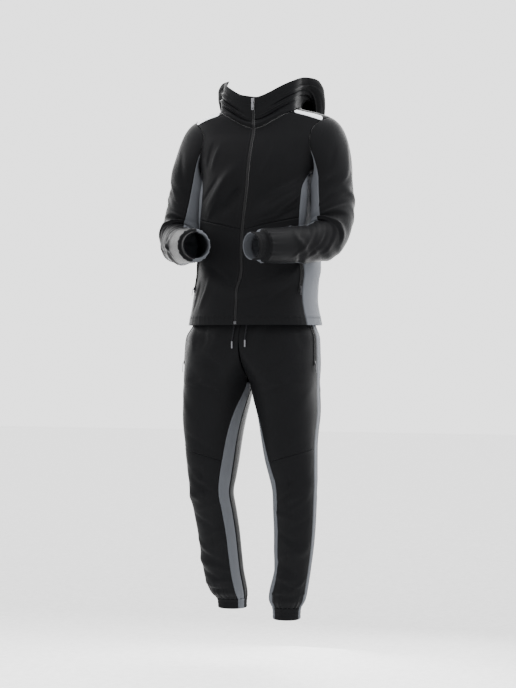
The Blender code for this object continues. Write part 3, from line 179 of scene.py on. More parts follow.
# Jacket body: level sections from the hem to the neck.
BODY_COLUMNS = ("height", "half_width", "front", "back", "centre", "turn")
BODY_SECTIONS = (
    (0.970, 0.1885, 0.140, 0.138, -0.008, -5.0),
    (0.998, 0.1830, 0.141, 0.138, -0.008, -4.8),
    (1.030, 0.1770, 0.138, 0.136, -0.008, -4.4),
    (1.070, 0.1745, 0.135, 0.133, -0.005, -4.0),
    (1.120, 0.1760, 0.134, 0.132, 0.002, -3.2),
    (1.180, 0.1760, 0.133, 0.130, 0.000, -2.6),
    (1.250, 0.1740, 0.130, 0.130, 0.002, -1.6),
    (1.320, 0.1740, 0.128, 0.132, 0.006, 0.0),
    (1.380, 0.1680, 0.127, 0.134, 0.009, 1.0),
    (1.430, 0.1800, 0.121, 0.131, 0.012, 1.0),
    (1.470, 0.1930, 0.110, 0.124, 0.015, 1.0),
    (1.500, 0.1980, 0.099, 0.115, 0.017, 1.0),
    (1.525, 0.2000, 0.091, 0.106, 0.017, 1.0),
    (1.545, 0.1930, 0.085, 0.096, 0.017, 1.0),
    (1.558, 0.1600, 0.081, 0.089, 0.017, 1.0),
    (1.570, 0.1150, 0.078, 0.082, 0.017, 1.0),
    (1.585, 0.0860, 0.074, 0.074, 0.017, 1.0),
    (1.600, 0.0780, 0.070, 0.070, 0.017, 1.0),
)
BODY_SQUARENESS = 2.35

# Side panel edges, as angles from the front in degrees.
SIDE_COLUMNS = ("height", "front_edge", "back_edge")
SIDE_EDGES = (
    (0.970, 72.0, 108.0),
    (1.120, 67.0, 105.0),
    (1.230, 61.5, 102.0),
    (1.320, 60.0, 102.0),
    (1.360, 63.0, 101.0),
    (1.385, 72.0, 98.0),
    (1.405, 88.0, 92.0),
)
HEM_HEIGHT = 0.972
CHEST_SEAM_ZIP = 1.232
CHEST_SEAM_SIDE = 1.264
ARMPIT_HEIGHT = 1.405
ARMHOLE_CENTRE = 1.475
ARMHOLE_RISE = 0.070
ARMHOLE_HALF_ANGLE = 26.0
NECK_FRONT = 1.512
NECK_SIDE = 1.572
NECK_BACK = 1.585
YOKE_FRONT_ANGLE = 52.0
YOKE_BACK_ANGLE = 112.0
ZIP_HALF = 0.0038

# Angles round a sleeve: 0 outer, 90 front, 180 next to the body, 270 back.
ARMHOLE_FRONT = (35.0, 60.0, 85.0, 110.0, 133.0, 156.0, 176.0)
ARMHOLE_BACK = (184.0, 208.0, 235.0, 264.0, 292.0, 325.0)

# Sleeve axes: points from the armhole to the cuff end.
ARM_COLUMNS = ("x", "y", "height", "half_side", "half_front")
ARM_LEFT = (
    (0.203, 0.000, 1.470, 0.062, 0.070),
    (0.213, -0.004, 1.390, 0.0600, 0.064),
    (0.219, -0.018, 1.320, 0.0595, 0.061),
    (0.224, -0.036, 1.262, 0.0590, 0.060),
    (0.216, -0.066, 1.213, 0.0560, 0.058),
    (0.189, -0.113, 1.192, 0.0500, 0.052),
    (0.140, -0.183, 1.184, 0.0460, 0.048),
    (0.096, -0.246, 1.179, 0.0440, 0.045),
    (0.072, -0.281, 1.177, 0.0380, 0.039),
)
ARM_RIGHT = (
    (-0.178, 0.002, 1.470, 0.062, 0.070),
    (-0.190, 0.000, 1.390, 0.0600, 0.064),
    (-0.203, -0.004, 1.320, 0.0595, 0.061),
    (-0.212, -0.018, 1.262, 0.0590, 0.060),
    (-0.212, -0.050, 1.213, 0.0560, 0.058),
    (-0.190, -0.105, 1.192, 0.0500, 0.052),
    (-0.140, -0.190, 1.186, 0.0460, 0.048),
    (-0.094, -0.266, 1.182, 0.0440, 0.045),
    (-0.071, -0.304, 1.180, 0.0380, 0.039),
)
CUFF_LENGTH = 0.036
CUFF_HALF = 0.0365
SLEEVE_RINGS = 17
SHOULDER_RINGS = 5
ARM_CLEARANCE = 0.007
PRESS_SOFTNESS = 0.010
PRESS_FADE = 0.030
PRESS_INWARD = 0.6
PRESS_SAMPLES = 60
AXIS_SAMPLES = 200
INNER_ARM_HALF = 60.0
SLEEVE_RADIUS = 0.055
ARMPIT_CLEARANCE = 0.005

# Joggers: hip sections above the crotch, the seat split by the centre seam.
HIP_COLUMNS = ("height", "half_width", "front", "back", "centre")
HIP_SECTIONS = (
    (0.790, 0.194, 0.118, 0.120, -0.016),
    (0.822, 0.193, 0.121, 0.124, -0.016),
    (0.860, 0.193, 0.125, 0.130, -0.016),
    (0.900, 0.192, 0.128, 0.134, -0.016),
    (0.940, 0.189, 0.127, 0.134, -0.015),
    (0.970, 0.175, 0.120, 0.124, -0.012),
    (1.000, 0.164, 0.114, 0.118, -0.010),
    (1.030, 0.158, 0.111, 0.114, -0.008),
    (1.065, 0.156, 0.110, 0.113, -0.006),
)
HIP_SQUARENESS = 2.25
WAIST_SEAM = 1.024
WAIST_TOP = 1.062
FORK_TOP = 0.935
CROTCH_HEIGHT = 0.822
LEG_COLUMNS = ("height", "x", "y", "half_width", "half_depth")
LEG_LEFT = (
    (0.164, 0.0990, -0.051, 0.0375, 0.0390),
    (0.199, 0.0995, -0.051, 0.0400, 0.0420),
    (0.216, 0.1008, -0.052, 0.0495, 0.0520),
    (0.243, 0.1054, -0.053, 0.0515, 0.0540),
    (0.298, 0.1170, -0.055, 0.0495, 0.0520),
    (0.353, 0.1214, -0.058, 0.0535, 0.0560),
    (0.408, 0.1250, -0.061, 0.0560, 0.0590),
    (0.463, 0.1263, -0.064, 0.0585, 0.0620),
    (0.518, 0.1270, -0.065, 0.0605, 0.0650),
    (0.573, 0.1203, -0.058, 0.0650, 0.0730),
    (0.628, 0.1100, -0.045, 0.0720, 0.0820),
    (0.682, 0.1020, -0.030, 0.0795, 0.0930),
    (0.735, 0.0935, -0.012, 0.0870, 0.1050),
    (0.780, 0.0830, -0.004, 0.0930, 0.1160),
    (0.822, 0.0790, 0.000, 0.0950, 0.1220),
)
LEG_RIGHT = (
    (0.164, -0.1055, 0.090, 0.0405, 0.0410),
    (0.194, -0.1057, 0.086, 0.0430, 0.0440),
    (0.210, -0.1115, 0.078, 0.0520, 0.0540),
    (0.236, -0.1165, 0.070, 0.0560, 0.0580),
    (0.280, -0.1218, 0.058, 0.0570, 0.0590),
    (0.333, -0.1224, 0.040, 0.0580, 0.0600),
    (0.392, -0.1229, 0.020, 0.0590, 0.0620),
    (0.451, -0.1262, 0.000, 0.0600, 0.0640),
    (0.509, -0.1296, -0.018, 0.0605, 0.0670),
    (0.565, -0.1296, -0.020, 0.0690, 0.0760),
    (0.621, -0.1283, -0.016, 0.0750, 0.0850),
    (0.677, -0.1270, -0.012, 0.0820, 0.0960),
    (0.733, -0.1220, -0.008, 0.0890, 0.1080),
    (0.780, -0.1150, -0.003, 0.0930, 0.1170),
    (0.822, -0.1110, 0.000, 0.0950, 0.1220),
)
ANKLE_CUFF_TOP = {"left": 0.199, "right": 0.194}
ANKLE_CUFF_END = 0.165
OUTER_STRIPE_ANGLE = 93.0
OUTER_STRIPE_HALF = 0.018
INNER_COLUMNS = ("height", "angle", "half_width")
INNER_STRIPE = (
    (0.164, 56.0, 0.017),
    (0.540, 55.0, 0.018),
    (0.680, 62.0, 0.020),
    (0.780, 76.0, 0.017),
    (0.822, 89.0, 0.004),
)
KNEE_SEAM = 0.612
KNEE_TILT = 0.022

# Hood lying down: profile points from the neck seam to the opening's edge.
HOOD_COLUMNS = ("run", "front_out", "front_up", "back_out", "back_up")
HOOD_PROFILE = (
    (0.00, 0.000, 0.000, 0.000, 0.000),
    (0.10, 0.001, 0.010, 0.006, 0.026),
    (0.18, 0.002, 0.018, 0.021, 0.038),
    (0.28, 0.003, 0.027, 0.044, 0.012),
    (0.40, 0.004, 0.036, 0.061, -0.062),
    (0.52, 0.005, 0.045, 0.074, -0.134),
    (0.60, 0.005, 0.052, 0.090, -0.164),
    (0.68, 0.006, 0.059, 0.112, -0.140),
    (0.80, 0.006, 0.067, 0.125, -0.066),
    (0.91, 0.007, 0.075, 0.117, 0.014),
    (1.00, 0.007, 0.083, 0.098, 0.052),
)
HOOD_ROWS = (0.0, 0.10, 0.18, 0.28, 0.40, 0.52, 0.60, 0.68, 0.80, 0.91, 1.0)

# Folds: soft ridges (+) and troughs (-) laid on a surface.
FOLD_COLUMNS = ("angle", "height", "half_length", "half_width", "slope", "depth")
BODY_FOLDS = (
    (36.0, 1.300, 0.070, 0.020, 38.0, 0.006),
    (38.0, 1.340, 0.060, 0.020, 34.0, -0.005),
    (-34.0, 1.340, 0.070, 0.018, 58.0, 0.009),
    (-20.0, 1.312, 0.040, 0.016, 50.0, -0.008),
    (28.0, 1.080, 0.090, 0.020, 14.0, 0.006),
    (-26.0, 1.090, 0.080, 0.022, -20.0, 0.007),
    (150.0, 1.300, 0.090, 0.022, 48.0, 0.008),
    (-150.0, 1.280, 0.090, 0.022, -46.0, 0.008),
    (172.0, 1.080, 0.120, 0.022, 6.0, 0.007),
    (120.0, 1.120, 0.060, 0.020, 24.0, -0.006),
    (-118.0, 1.130, 0.060, 0.020, -22.0, -0.006),
)

SLEEVE_FOLDS = (
    (60.0, 0.110, 0.050, 0.014, 32.0, 0.005),
    (-20.0, 0.170, 0.060, 0.014, -26.0, 0.005),
    (92.0, 0.232, 0.050, 0.011, 8.0, -0.008),
    (60.0, 0.262, 0.055, 0.011, -16.0, 0.006),
    (120.0, 0.285, 0.050, 0.011, 20.0, -0.006),
    (30.0, 0.330, 0.060, 0.012, -40.0, 0.005),
    (-50.0, 0.300, 0.060, 0.013, 24.0, 0.005),
    (10.0, 0.395, 0.045, 0.010, 30.0, 0.004),
)
LEG_FOLDS = {
    "left": (
        (10.0, 0.505, 0.060, 0.013, 12.0, 0.006),
        (0.0, 0.545, 0.060, 0.014, -8.0, -0.006),
        (20.0, 0.350, 0.060, 0.014, 18.0, 0.005),
        (-30.0, 0.300, 0.050, 0.012, -20.0, 0.005),
        (170.0, 0.520, 0.065, 0.014, 4.0, -0.008),
        (190.0, 0.480, 0.060, 0.014, -8.0, 0.006),
        (15.0, 0.780, 0.080, 0.016, 30.0, 0.006),
        (150.0, 0.800, 0.070, 0.016, -22.0, -0.006),
        (10.0, 0.228, 0.080, 0.010, 4.0, -0.004),
    ),
    "right": (
        (10.0, 0.560, 0.065, 0.014, 8.0, -0.006),
        (20.0, 0.500, 0.060, 0.014, -12.0, 0.006),
        (-10.0, 0.360, 0.060, 0.014, -16.0, 0.005),
        (40.0, 0.300, 0.050, 0.012, 20.0, 0.005),
        (170.0, 0.520, 0.065, 0.014, -4.0, -0.008),
        (190.0, 0.470, 0.060, 0.014, 10.0, 0.006),
        (12.0, 0.800, 0.085, 0.016, 34.0, 0.007),
        (150.0, 0.790, 0.070, 0.016, -22.0, -0.006),
        (10.0, 0.224, 0.080, 0.010, -4.0, -0.004),
    ),
}

# How finely each surface is divided.
SIDES = (("left", 1.0), ("right", -1.0))
LOW_ROWS = 8
MID_ROWS = 5
YOKE_SPANS = 3
EDGE_HOLD = 4.0
YOKE_COLUMNS = 3
NECK_FRONT_SPANS = 4
NECK_BACK_SPANS = 6
SHOULDER_LENGTH = 0.108
SLEEVE_ANGLES = (-68.0, -35.0, -11.7, 11.7, 35.0, 60.0, 85.0, 110.0,
                 133.0, 156.0, 176.0, 184.0, 208.0, 235.0, 264.0)
UNDER_START = 7
HOOD_CLEARANCE = 0.010
HOOD_FLARE_LEFT = 0.012
HOOD_FLARE_RIGHT = -0.026
FRONT_SPANS = 7
STRIPE_SPANS = 2
BACK_SPANS = 7
CUFF_ROWS = 3
LEG_ROWS = 18
KNEE_ROW = 11
FORK_ROWS = 4
HIP_ROWS = 4


def read(table, columns, name, where):
    """Read a named column at any place by a cubic that does not overshoot."""
    rows = np.array(table, dtype=float)
    place = rows[:, 0]
    value = rows[:, columns.index(name)]
    if place[0] > place[-1]:
        place = place[::-1]
        value = value[::-1]
    step = np.diff(place)
    slope = np.diff(value) / step
    middle = np.where(slope[1:] * slope[:-1] > 0.0, 0.5 * (slope[1:] + slope[:-1]), 0.0)
    limit = 3.0 * np.minimum(np.abs(slope[1:]), np.abs(slope[:-1]))
    middle = np.clip(middle, -limit, limit)
    tangent = np.concatenate(([slope[0]], middle, [slope[-1]]))
    where = np.clip(np.asarray(where, dtype=float), place[0], place[-1])
    cell = np.clip(np.searchsorted(place, where, side="right") - 1, 0, len(step) - 1)
    width = step[cell]
    t = (where - place[cell]) / width
    start = (1.0 + 2.0 * t) * (1.0 - t) ** 2 * value[cell]
    end = t * t * (3.0 - 2.0 * t) * value[cell + 1]
    lean = t * (1.0 - t) ** 2 * tangent[cell] - t * t * (1.0 - t) * tangent[cell + 1]
    return start + end + lean * width


def oval_radius(angle, half_width, depth, squareness):
    """Distance from the centre to a squarish oval, at an angle from the front."""
    wide = np.abs(np.sin(angle) / half_width) ** squareness
    deep = np.abs(np.cos(angle) / depth) ** squareness
    return (wide + deep) ** (-1.0 / squareness)


def fold_height(folds, angle_degrees, height, radius):
    """Sum of the folds at a place: a bell across each fold, ending softly."""
    total = np.zeros(np.broadcast(angle_degrees, height).shape)
    for row in folds:
        fold = dict(zip(FOLD_COLUMNS, row))
        turn = (angle_degrees - fold["angle"] + 180.0) % 360.0 - 180.0
        run = np.radians(turn) * radius
        rise = height - fold["height"]
        tilt = math.radians(fold["slope"])
        along = run * math.cos(tilt) + rise * math.sin(tilt)
        across = -run * math.sin(tilt) + rise * math.cos(tilt)
        bell = np.exp(-(across / fold["half_width"]) ** 2)
        total = total + fold["depth"] * bell * np.exp(-(along / fold["half_length"]) ** 4)
    return total


def arm_axis(table, count):
    """Sleeve axis points with their half sizes, evenly spaced along the arm."""
    fine = spline(table, np.linspace(0.0, 1.0, AXIS_SAMPLES))
    length = np.concatenate(([0.0], np.cumsum(np.linalg.norm(np.diff(fine[:, :3], axis=0), axis=1))))
    even = np.linspace(0.0, length[-1], count)
    table = np.stack([np.interp(even, length, fine[:, k]) for k in range(len(ARM_COLUMNS))], axis=1)
    return table, length[-1]


def press_from_arm(points, table, side):
    """Push body points off a sleeve so that it lies just clear of the body."""
    axis, _ = arm_axis(table, PRESS_SAMPLES)
    centre = axis[:, :3]
    flat = points.reshape(-1, 3)
    offset = flat[:, None, :] - centre[None, :, :]
    distance = np.linalg.norm(offset, axis=2)
    reach = np.maximum(axis[:, 3], axis[:, 4])[None, :] + ARM_CLEARANCE
    near = np.argmin(distance - reach, axis=1)
    pick = np.arange(len(flat))
    fade = smooth_step((ARMPIT_HEIGHT + 0.002 - flat[:, 2]) / PRESS_FADE)
    over = reach[0, near] - distance[pick, near]
    short = 0.5 * (over + np.hypot(over, PRESS_SOFTNESS)) * fade
    away = offset[pick, near]
    away[:, 0] -= side * PRESS_INWARD * distance[pick, near]
    away = unit(away)
    return (flat + away * short[:, None]).reshape(points.shape)


def body_point(angle_degrees, height):
    """Jacket body surface, by angle from the front and height above ground."""
    angle = np.radians(angle_degrees)
    half_width = read(BODY_SECTIONS, BODY_COLUMNS, "half_width", height)
    front = read(BODY_SECTIONS, BODY_COLUMNS, "front", height)
    back = read(BODY_SECTIONS, BODY_COLUMNS, "back", height)
    depth = np.where(np.cos(angle) > 0.0, front, back)
    radius = oval_radius(angle, half_width, depth, BODY_SQUARENESS)
    radius = radius + fold_height(BODY_FOLDS, angle_degrees, height, radius)
    turned = angle + np.radians(read(BODY_SECTIONS, BODY_COLUMNS, "turn", height))
    centre = read(BODY_SECTIONS, BODY_COLUMNS, "centre", height)
    x = centre + radius * np.sin(turned)
    y = -radius * np.cos(turned)
    points = np.stack((x, y, np.broadcast_to(height, x.shape)), axis=-1)
    points = press_from_arm(points, ARM_LEFT, 1.0)
    return press_from_arm(points, ARM_RIGHT, -1.0)


def neck_height(angle_degrees):
    """Height of the neck seam at an angle from the front."""
    turn = np.abs((np.asarray(angle_degrees, dtype=float) + 180.0) % 360.0 - 180.0)
    side = NECK_FRONT + (NECK_SIDE - NECK_FRONT) * smooth_step(turn / 80.0)
    return side + (NECK_BACK - NECK_SIDE) * smooth_step((turn - 80.0) / 100.0)


def zip_angle(height):
    """Angle from the centre front to the edge of the zip, in degrees."""
    front = read(BODY_SECTIONS, BODY_COLUMNS, "front", height)
    return np.degrees((ZIP_HALF + SEAM_GAP) / front)


def armhole(sleeve_degrees):
    """Angle and height on the body of the armhole seam, by sleeve angle."""
    turn = np.radians(np.asarray(sleeve_degrees, dtype=float))
    angle = 90.0 - ARMHOLE_HALF_ANGLE * np.sin(turn)
    return angle, ARMHOLE_CENTRE + ARMHOLE_RISE * np.cos(turn)


def between(start, end, count):
    """Straight run of (angle, height) stations with both ends."""
    t = np.linspace(0.0, 1.0, count + 1)[:, None]
    return np.array(start)[None, :] * (1.0 - t) + np.array(end)[None, :] * t


def coons(left, right, bottom, top, hold=1.0):
    """Fill a four-sided patch from its edges; hold keeps the bends near them."""
    v = np.linspace(0.0, 1.0, len(left))[:, None, None]
    u = np.linspace(0.0, 1.0, len(bottom))[None, :, None]
    across = left[:, None, :] * (1.0 - u) + right[:, None, :] * u
    bottom_bend = bottom - (bottom[0] * (1.0 - u[0]) + bottom[-1] * u[0])
    top_bend = top - (top[0] * (1.0 - u[0]) + top[-1] * u[0])
    return across + bottom_bend[None] * (1.0 - v) ** hold + top_bend[None] * v ** hold


def grid_normals(points, wrap):
    """Normals of a grid, rows upward and columns round; wrap closes the columns."""
    if wrap:
        around = np.roll(points, -1, axis=1) - np.roll(points, 1, axis=1)
    else:
        around = np.gradient(points, axis=1)
    upward = np.gradient(points, axis=0)
    return unit(np.cross(around, upward))


def clear_of_body(points, clearance):
    """Move points straight out from the body's middle until they clear it."""
    height = points[:, 2]
    centre = read(BODY_SECTIONS, BODY_COLUMNS, "centre", height)
    turn = np.radians(read(BODY_SECTIONS, BODY_COLUMNS, "turn", height))
    x = points[:, 0] - centre
    distance = np.hypot(x, points[:, 1])
    angle = np.degrees(np.arctan2(x, -points[:, 1]) - turn)
    body = body_point(angle, height)
    needed = np.hypot(body[:, 0] - centre, body[:, 1]) + clearance
    inside = (height < NECK_BACK + 0.01) & (distance < needed)
    scale = np.where(inside, needed / distance, 1.0)
    moved = points.copy()
    moved[:, 0] = centre + x * scale
    moved[:, 1] = points[:, 1] * scale
    return moved


def arm_frames(axis):
    """Direction, outer and front vectors along a sleeve axis."""
    centre = axis[:, :3]
    along = unit(np.gradient(centre, axis=0))
    front = np.array((0.0, -1.0, 0.0))
    fronts = []
    for direction in along:
        front = unit(front - direction * np.dot(front, direction))
        fronts.append(front)
    fronts = np.array(fronts)
    return along, fronts


def body_normal(angle_degrees, height):
    """Outward normal of the jacket body surface."""
    turn_step = 0.4
    rise_step = 0.0015
    around = body_point(angle_degrees + turn_step, height) - body_point(angle_degrees - turn_step, height)
    upward = body_point(angle_degrees, height + rise_step) - body_point(angle_degrees, height - rise_step)
    return unit(np.cross(around, upward))


def hip_point(angle_degrees, height):
    """Joggers' surface above the fork, a squarish oval round the hips."""
    angle = np.radians(angle_degrees)
    front = read(HIP_SECTIONS, HIP_COLUMNS, "front", height)
    back = read(HIP_SECTIONS, HIP_COLUMNS, "back", height)
    depth = np.where(np.cos(angle) > 0.0, front, back)
    half_width = read(HIP_SECTIONS, HIP_COLUMNS, "half_width", height)
    radius = oval_radius(angle, half_width, depth, HIP_SQUARENESS)
    x = read(HIP_SECTIONS, HIP_COLUMNS, "centre", height) + radius * np.sin(angle)
    return np.stack((x, -radius * np.cos(angle), np.broadcast_to(height, x.shape)), axis=-1)


def leg_point(label, side, angle_degrees, height, fork):
    """Joggers' surface for one leg and its half of the seat."""
    table = LEG_LEFT if side > 0 else LEG_RIGHT
    angle = np.radians(angle_degrees)
    middle = read(HIP_SECTIONS, HIP_COLUMNS, "centre", height)
    hip_half = read(HIP_SECTIONS, HIP_COLUMNS, "half_width", height)
    reach = 0.5 * hip_half
    below = height <= CROTCH_HEIGHT
    if below:
        x_centre = read(table, LEG_COLUMNS, "x", height)
        y_centre = read(table, LEG_COLUMNS, "y", height)
        out_width = read(table, LEG_COLUMNS, "half_width", height)
        in_width = out_width
        front = back = read(table, LEG_COLUMNS, "half_depth", height)
    else:
        shift = fork * reach
        x_centre = middle + side * shift
        y_centre = 0.0
        out_width = hip_half - shift
        start = np.radians(np.maximum(89.0 * fork, 0.5))
        in_width = shift / np.sin(start)
        front = read(HIP_SECTIONS, HIP_COLUMNS, "front", height)
        back = read(HIP_SECTIONS, HIP_COLUMNS, "back", height)
    depth = np.where(np.cos(angle) > 0.0, front, back)
    radius = oval_radius(angle, out_width, depth, HIP_SQUARENESS)
    outside = np.sin(angle) >= 0.0
    sideways = np.where(outside, radius * np.sin(angle), in_width * np.sin(angle))
    forward = np.where(outside, -radius * np.cos(angle), -depth * np.cos(angle))
    fold = fold_height(LEG_FOLDS[label], angle_degrees, height, 0.075)
    size = np.hypot(sideways, forward)
    grow = 1.0 + np.where(outside, fold, 0.4 * fold) / np.maximum(size, 0.02)
    x = x_centre + side * sideways * grow
    return np.stack((x, y_centre + forward * grow, np.broadcast_to(height, x.shape)), axis=-1)


# How many times finer than its solid each piece of cloth is divided.
BODY_FINE = 10
HOOD_FINE = 8
SLEEVE_FINE = 7
LEG_FINE = 6

# Seam form: lines added beside a cut edge, the groove's depth and the swell next to it.
SEAM_LINES = (0.0010, 0.0024)
GROOVE_DEPTH = 0.0012
GROOVE_WIDTH = 0.0011
SWELL_HEIGHT = 0.0006
SWELL_PLACE = 0.0040
SWELL_WIDTH = 0.0028

# Creases that only the cloth shows: the table adds how far a crease bows and how it fans out.
CREASE_COLUMNS = ("angle", "height", "half_length", "half_width", "slope", "depth", "bow", "fan")
CREASE_STEEP = 0.62
BODY_CREASES = (
    (43.0, 1.345, 0.045, 0.0070, 31.0, 0.0024, 1.2, -0.4),
    (40.0, 1.318, 0.048, 0.0080, 34.0, -0.0026, -0.8, -0.3),
    (47.0, 1.297, 0.036, 0.0060, 43.0, 0.0028, 0.0, -0.4),
    (50.0, 1.278, 0.026, 0.0055, 30.0, -0.0022, 0.0, 0.0),
    (30.0, 1.262, 0.040, 0.0060, 16.0, 0.0018, 0.6, 0.2),
    (22.0, 1.410, 0.050, 0.0120, 62.0, 0.0016, 0.0, 0.0),
    (50.0, 1.455, 0.035, 0.0080, 70.0, -0.0018, 0.0, 0.0),
    (-52.0, 1.445, 0.038, 0.0075, 84.0, -0.0022, 1.0, 0.0),
    (-45.0, 1.435, 0.034, 0.0070, 80.0, 0.0020, 0.0, 0.0),
    (-30.0, 1.340, 0.042, 0.0070, 66.0, -0.0026, -1.0, 0.3),
    (-24.0, 1.325, 0.030, 0.0060, 62.0, 0.0022, 0.0, 0.2),
    (-14.0, 1.338, 0.016, 0.0050, 44.0, -0.0026, 0.0, 0.0),
    (-38.0, 1.300, 0.040, 0.0075, 58.0, 0.0022, 0.0, 0.2),
    (-48.0, 1.345, 0.040, 0.0065, 52.0, -0.0024, 0.0, 0.0),
    (-6.0, 1.300, 0.045, 0.0050, 86.0, 0.0014, 0.0, 0.0),
    (6.5, 1.290, 0.050, 0.0050, 88.0, 0.0012, 0.0, 0.0),
    (-55.0, 1.050, 0.040, 0.0080, 76.0, -0.0024, 0.0, 0.3),
    (-42.0, 1.060, 0.045, 0.0090, 70.0, 0.0022, 0.0, 0.2),
    (-24.0, 1.110, 0.040, 0.0080, -32.0, -0.0018, 0.0, 0.0),
    (34.0, 1.100, 0.050, 0.0090, 22.0, 0.0020, 0.0, 0.2),
    (46.0, 1.060, 0.036, 0.0080, 38.0, -0.0020, 0.0, 0.0),
    (20.0, 1.040, 0.040, 0.0100, 12.0, 0.0014, 0.0, 0.0),
    (60.0, 1.130, 0.030, 0.0070, 50.0, 0.0022, 0.0, 0.0),
    (96.0, 1.300, 0.045, 0.0080, 78.0, -0.0024, 0.0, 0.2),
    (112.0, 1.330, 0.055, 0.0090, 60.0, 0.0026, 0.8, 0.2),
    (126.0, 1.290, 0.060, 0.0090, 50.0, -0.0028, 0.5, 0.2),
    (140.0, 1.360, 0.050, 0.0100, 44.0, 0.0022, 0.0, 0.0),
    (-96.0, 1.290, 0.045, 0.0080, -76.0, 0.0024, 0.0, 0.2),
    (-114.0, 1.320, 0.060, 0.0090, -58.0, -0.0028, -0.6, 0.2),
    (-130.0, 1.280, 0.055, 0.0090, -46.0, 0.0026, 0.0, 0.2),
    (-146.0, 1.350, 0.050, 0.0100, -40.0, -0.0022, 0.0, 0.0),
    (180.0, 1.180, 0.070, 0.0120, 4.0, -0.0024, 0.3, 0.0),
    (168.0, 1.150, 0.060, 0.0110, -10.0, 0.0022, 0.0, 0.0),
    (-166.0, 1.120, 0.060, 0.0110, 12.0, -0.0024, 0.0, 0.0),
    (156.0, 1.070, 0.050, 0.0100, 20.0, 0.0022, 0.0, 0.0),
    (-140.0, 1.060, 0.050, 0.0100, -22.0, 0.0022, 0.0, 0.0),
    (175.0, 1.040, 0.060, 0.0110, -5.0, -0.0020, 0.0, 0.0),
    (128.0, 1.100, 0.040, 0.0090, 36.0, 0.0022, 0.0, 0.0),
    (-124.0, 1.110, 0.040, 0.0090, -34.0, -0.0024, 0.0, 0.0),
)
SLEEVE_CREASES = (
    (20.0, 0.085, 0.045, 0.0080, 64.0, 0.0020, 0.0, 0.0),
    (75.0, 0.100, 0.050, 0.0070, 58.0, -0.0028, 0.6, 0.0),
    (52.0, 0.135, 0.050, 0.0070, 50.0, 0.0028, 0.6, 0.0),
    (30.0, 0.165, 0.050, 0.0080, 46.0, -0.0026, 0.0, 0.0),
    (88.0, 0.180, 0.040, 0.0060, 40.0, 0.0030, 0.0, 0.0),
    (64.0, 0.205, 0.045, 0.0060, 30.0, -0.0034, 0.8, 0.0),
    (80.0, 0.226, 0.045, 0.0055, 14.0, 0.0040, 0.8, 0.0),
    (100.0, 0.240, 0.045, 0.0050, 4.0, -0.0046, 0.6, 0.0),
    (84.0, 0.254, 0.045, 0.0055, -8.0, 0.0040, -0.8, 0.2),
    (62.0, 0.268, 0.050, 0.0060, -22.0, -0.0034, -1.0, 0.3),
    (40.0, 0.262, 0.045, 0.0070, -34.0, 0.0030, -1.0, 0.3),
    (112.0, 0.276, 0.040, 0.0055, 16.0, 0.0034, 0.0, 0.0),
    (24.0, 0.300, 0.045, 0.0065, -44.0, 0.0032, -0.8, 0.3),
    (48.0, 0.318, 0.045, 0.0060, -38.0, -0.0032, 0.0, 0.2),
    (70.0, 0.332, 0.045, 0.0060, -34.0, 0.0030, 0.0, 0.0),
    (16.0, 0.346, 0.042, 0.0060, -46.0, -0.0030, 0.0, 0.2),
    (92.0, 0.352, 0.040, 0.0060, -26.0, -0.0026, 0.0, 0.0),
    (40.0, 0.372, 0.042, 0.0060, -42.0, 0.0030, 0.6, 0.0),
    (64.0, 0.392, 0.040, 0.0060, -34.0, -0.0028, 0.0, 0.0),
    (8.0, 0.398, 0.036, 0.0060, -40.0, 0.0026, 0.0, 0.0),
    (90.0, 0.408, 0.034, 0.0055, -20.0, 0.0024, 0.0, 0.0),
    (-30.0, 0.130, 0.050, 0.0090, -52.0, -0.0024, 0.0, 0.0),
    (-60.0, 0.180, 0.050, 0.0085, -44.0, 0.0026, 0.0, 0.0),
    (-20.0, 0.215, 0.040, 0.0080, -30.0, 0.0020, 0.0, 0.0),
    (-80.0, 0.240, 0.045, 0.0075, -16.0, -0.0026, 0.0, 0.0),
    (-45.0, 0.280, 0.045, 0.0070, 14.0, 0.0024, 0.0, 0.0),
    (-30.0, 0.330, 0.045, 0.0070, 34.0, -0.0024, 0.0, 0.0),
    (-70.0, 0.360, 0.045, 0.0070, 30.0, 0.0024, 0.0, 0.0),
    (-40.0, 0.395, 0.040, 0.0065, 24.0, -0.0022, 0.0, 0.0),
    (160.0, 0.150, 0.060, 0.0080, 50.0, 0.0022, 0.0, 0.0),
    (200.0, 0.190, 0.050, 0.0080, 30.0, -0.0024, 0.0, 0.0),
    (175.0, 0.235, 0.040, 0.0060, 4.0, -0.0036, 0.0, 0.0),
    (190.0, 0.262, 0.040, 0.0060, -10.0, 0.0032, 0.0, 0.0),
    (170.0, 0.300, 0.045, 0.0070, 24.0, -0.0026, 0.0, 0.0),
    (205.0, 0.350, 0.045, 0.0070, 18.0, 0.0024, 0.0, 0.0),
    (160.0, 0.385, 0.040, 0.0065, -22.0, 0.0024, 0.0, 0.0),
)
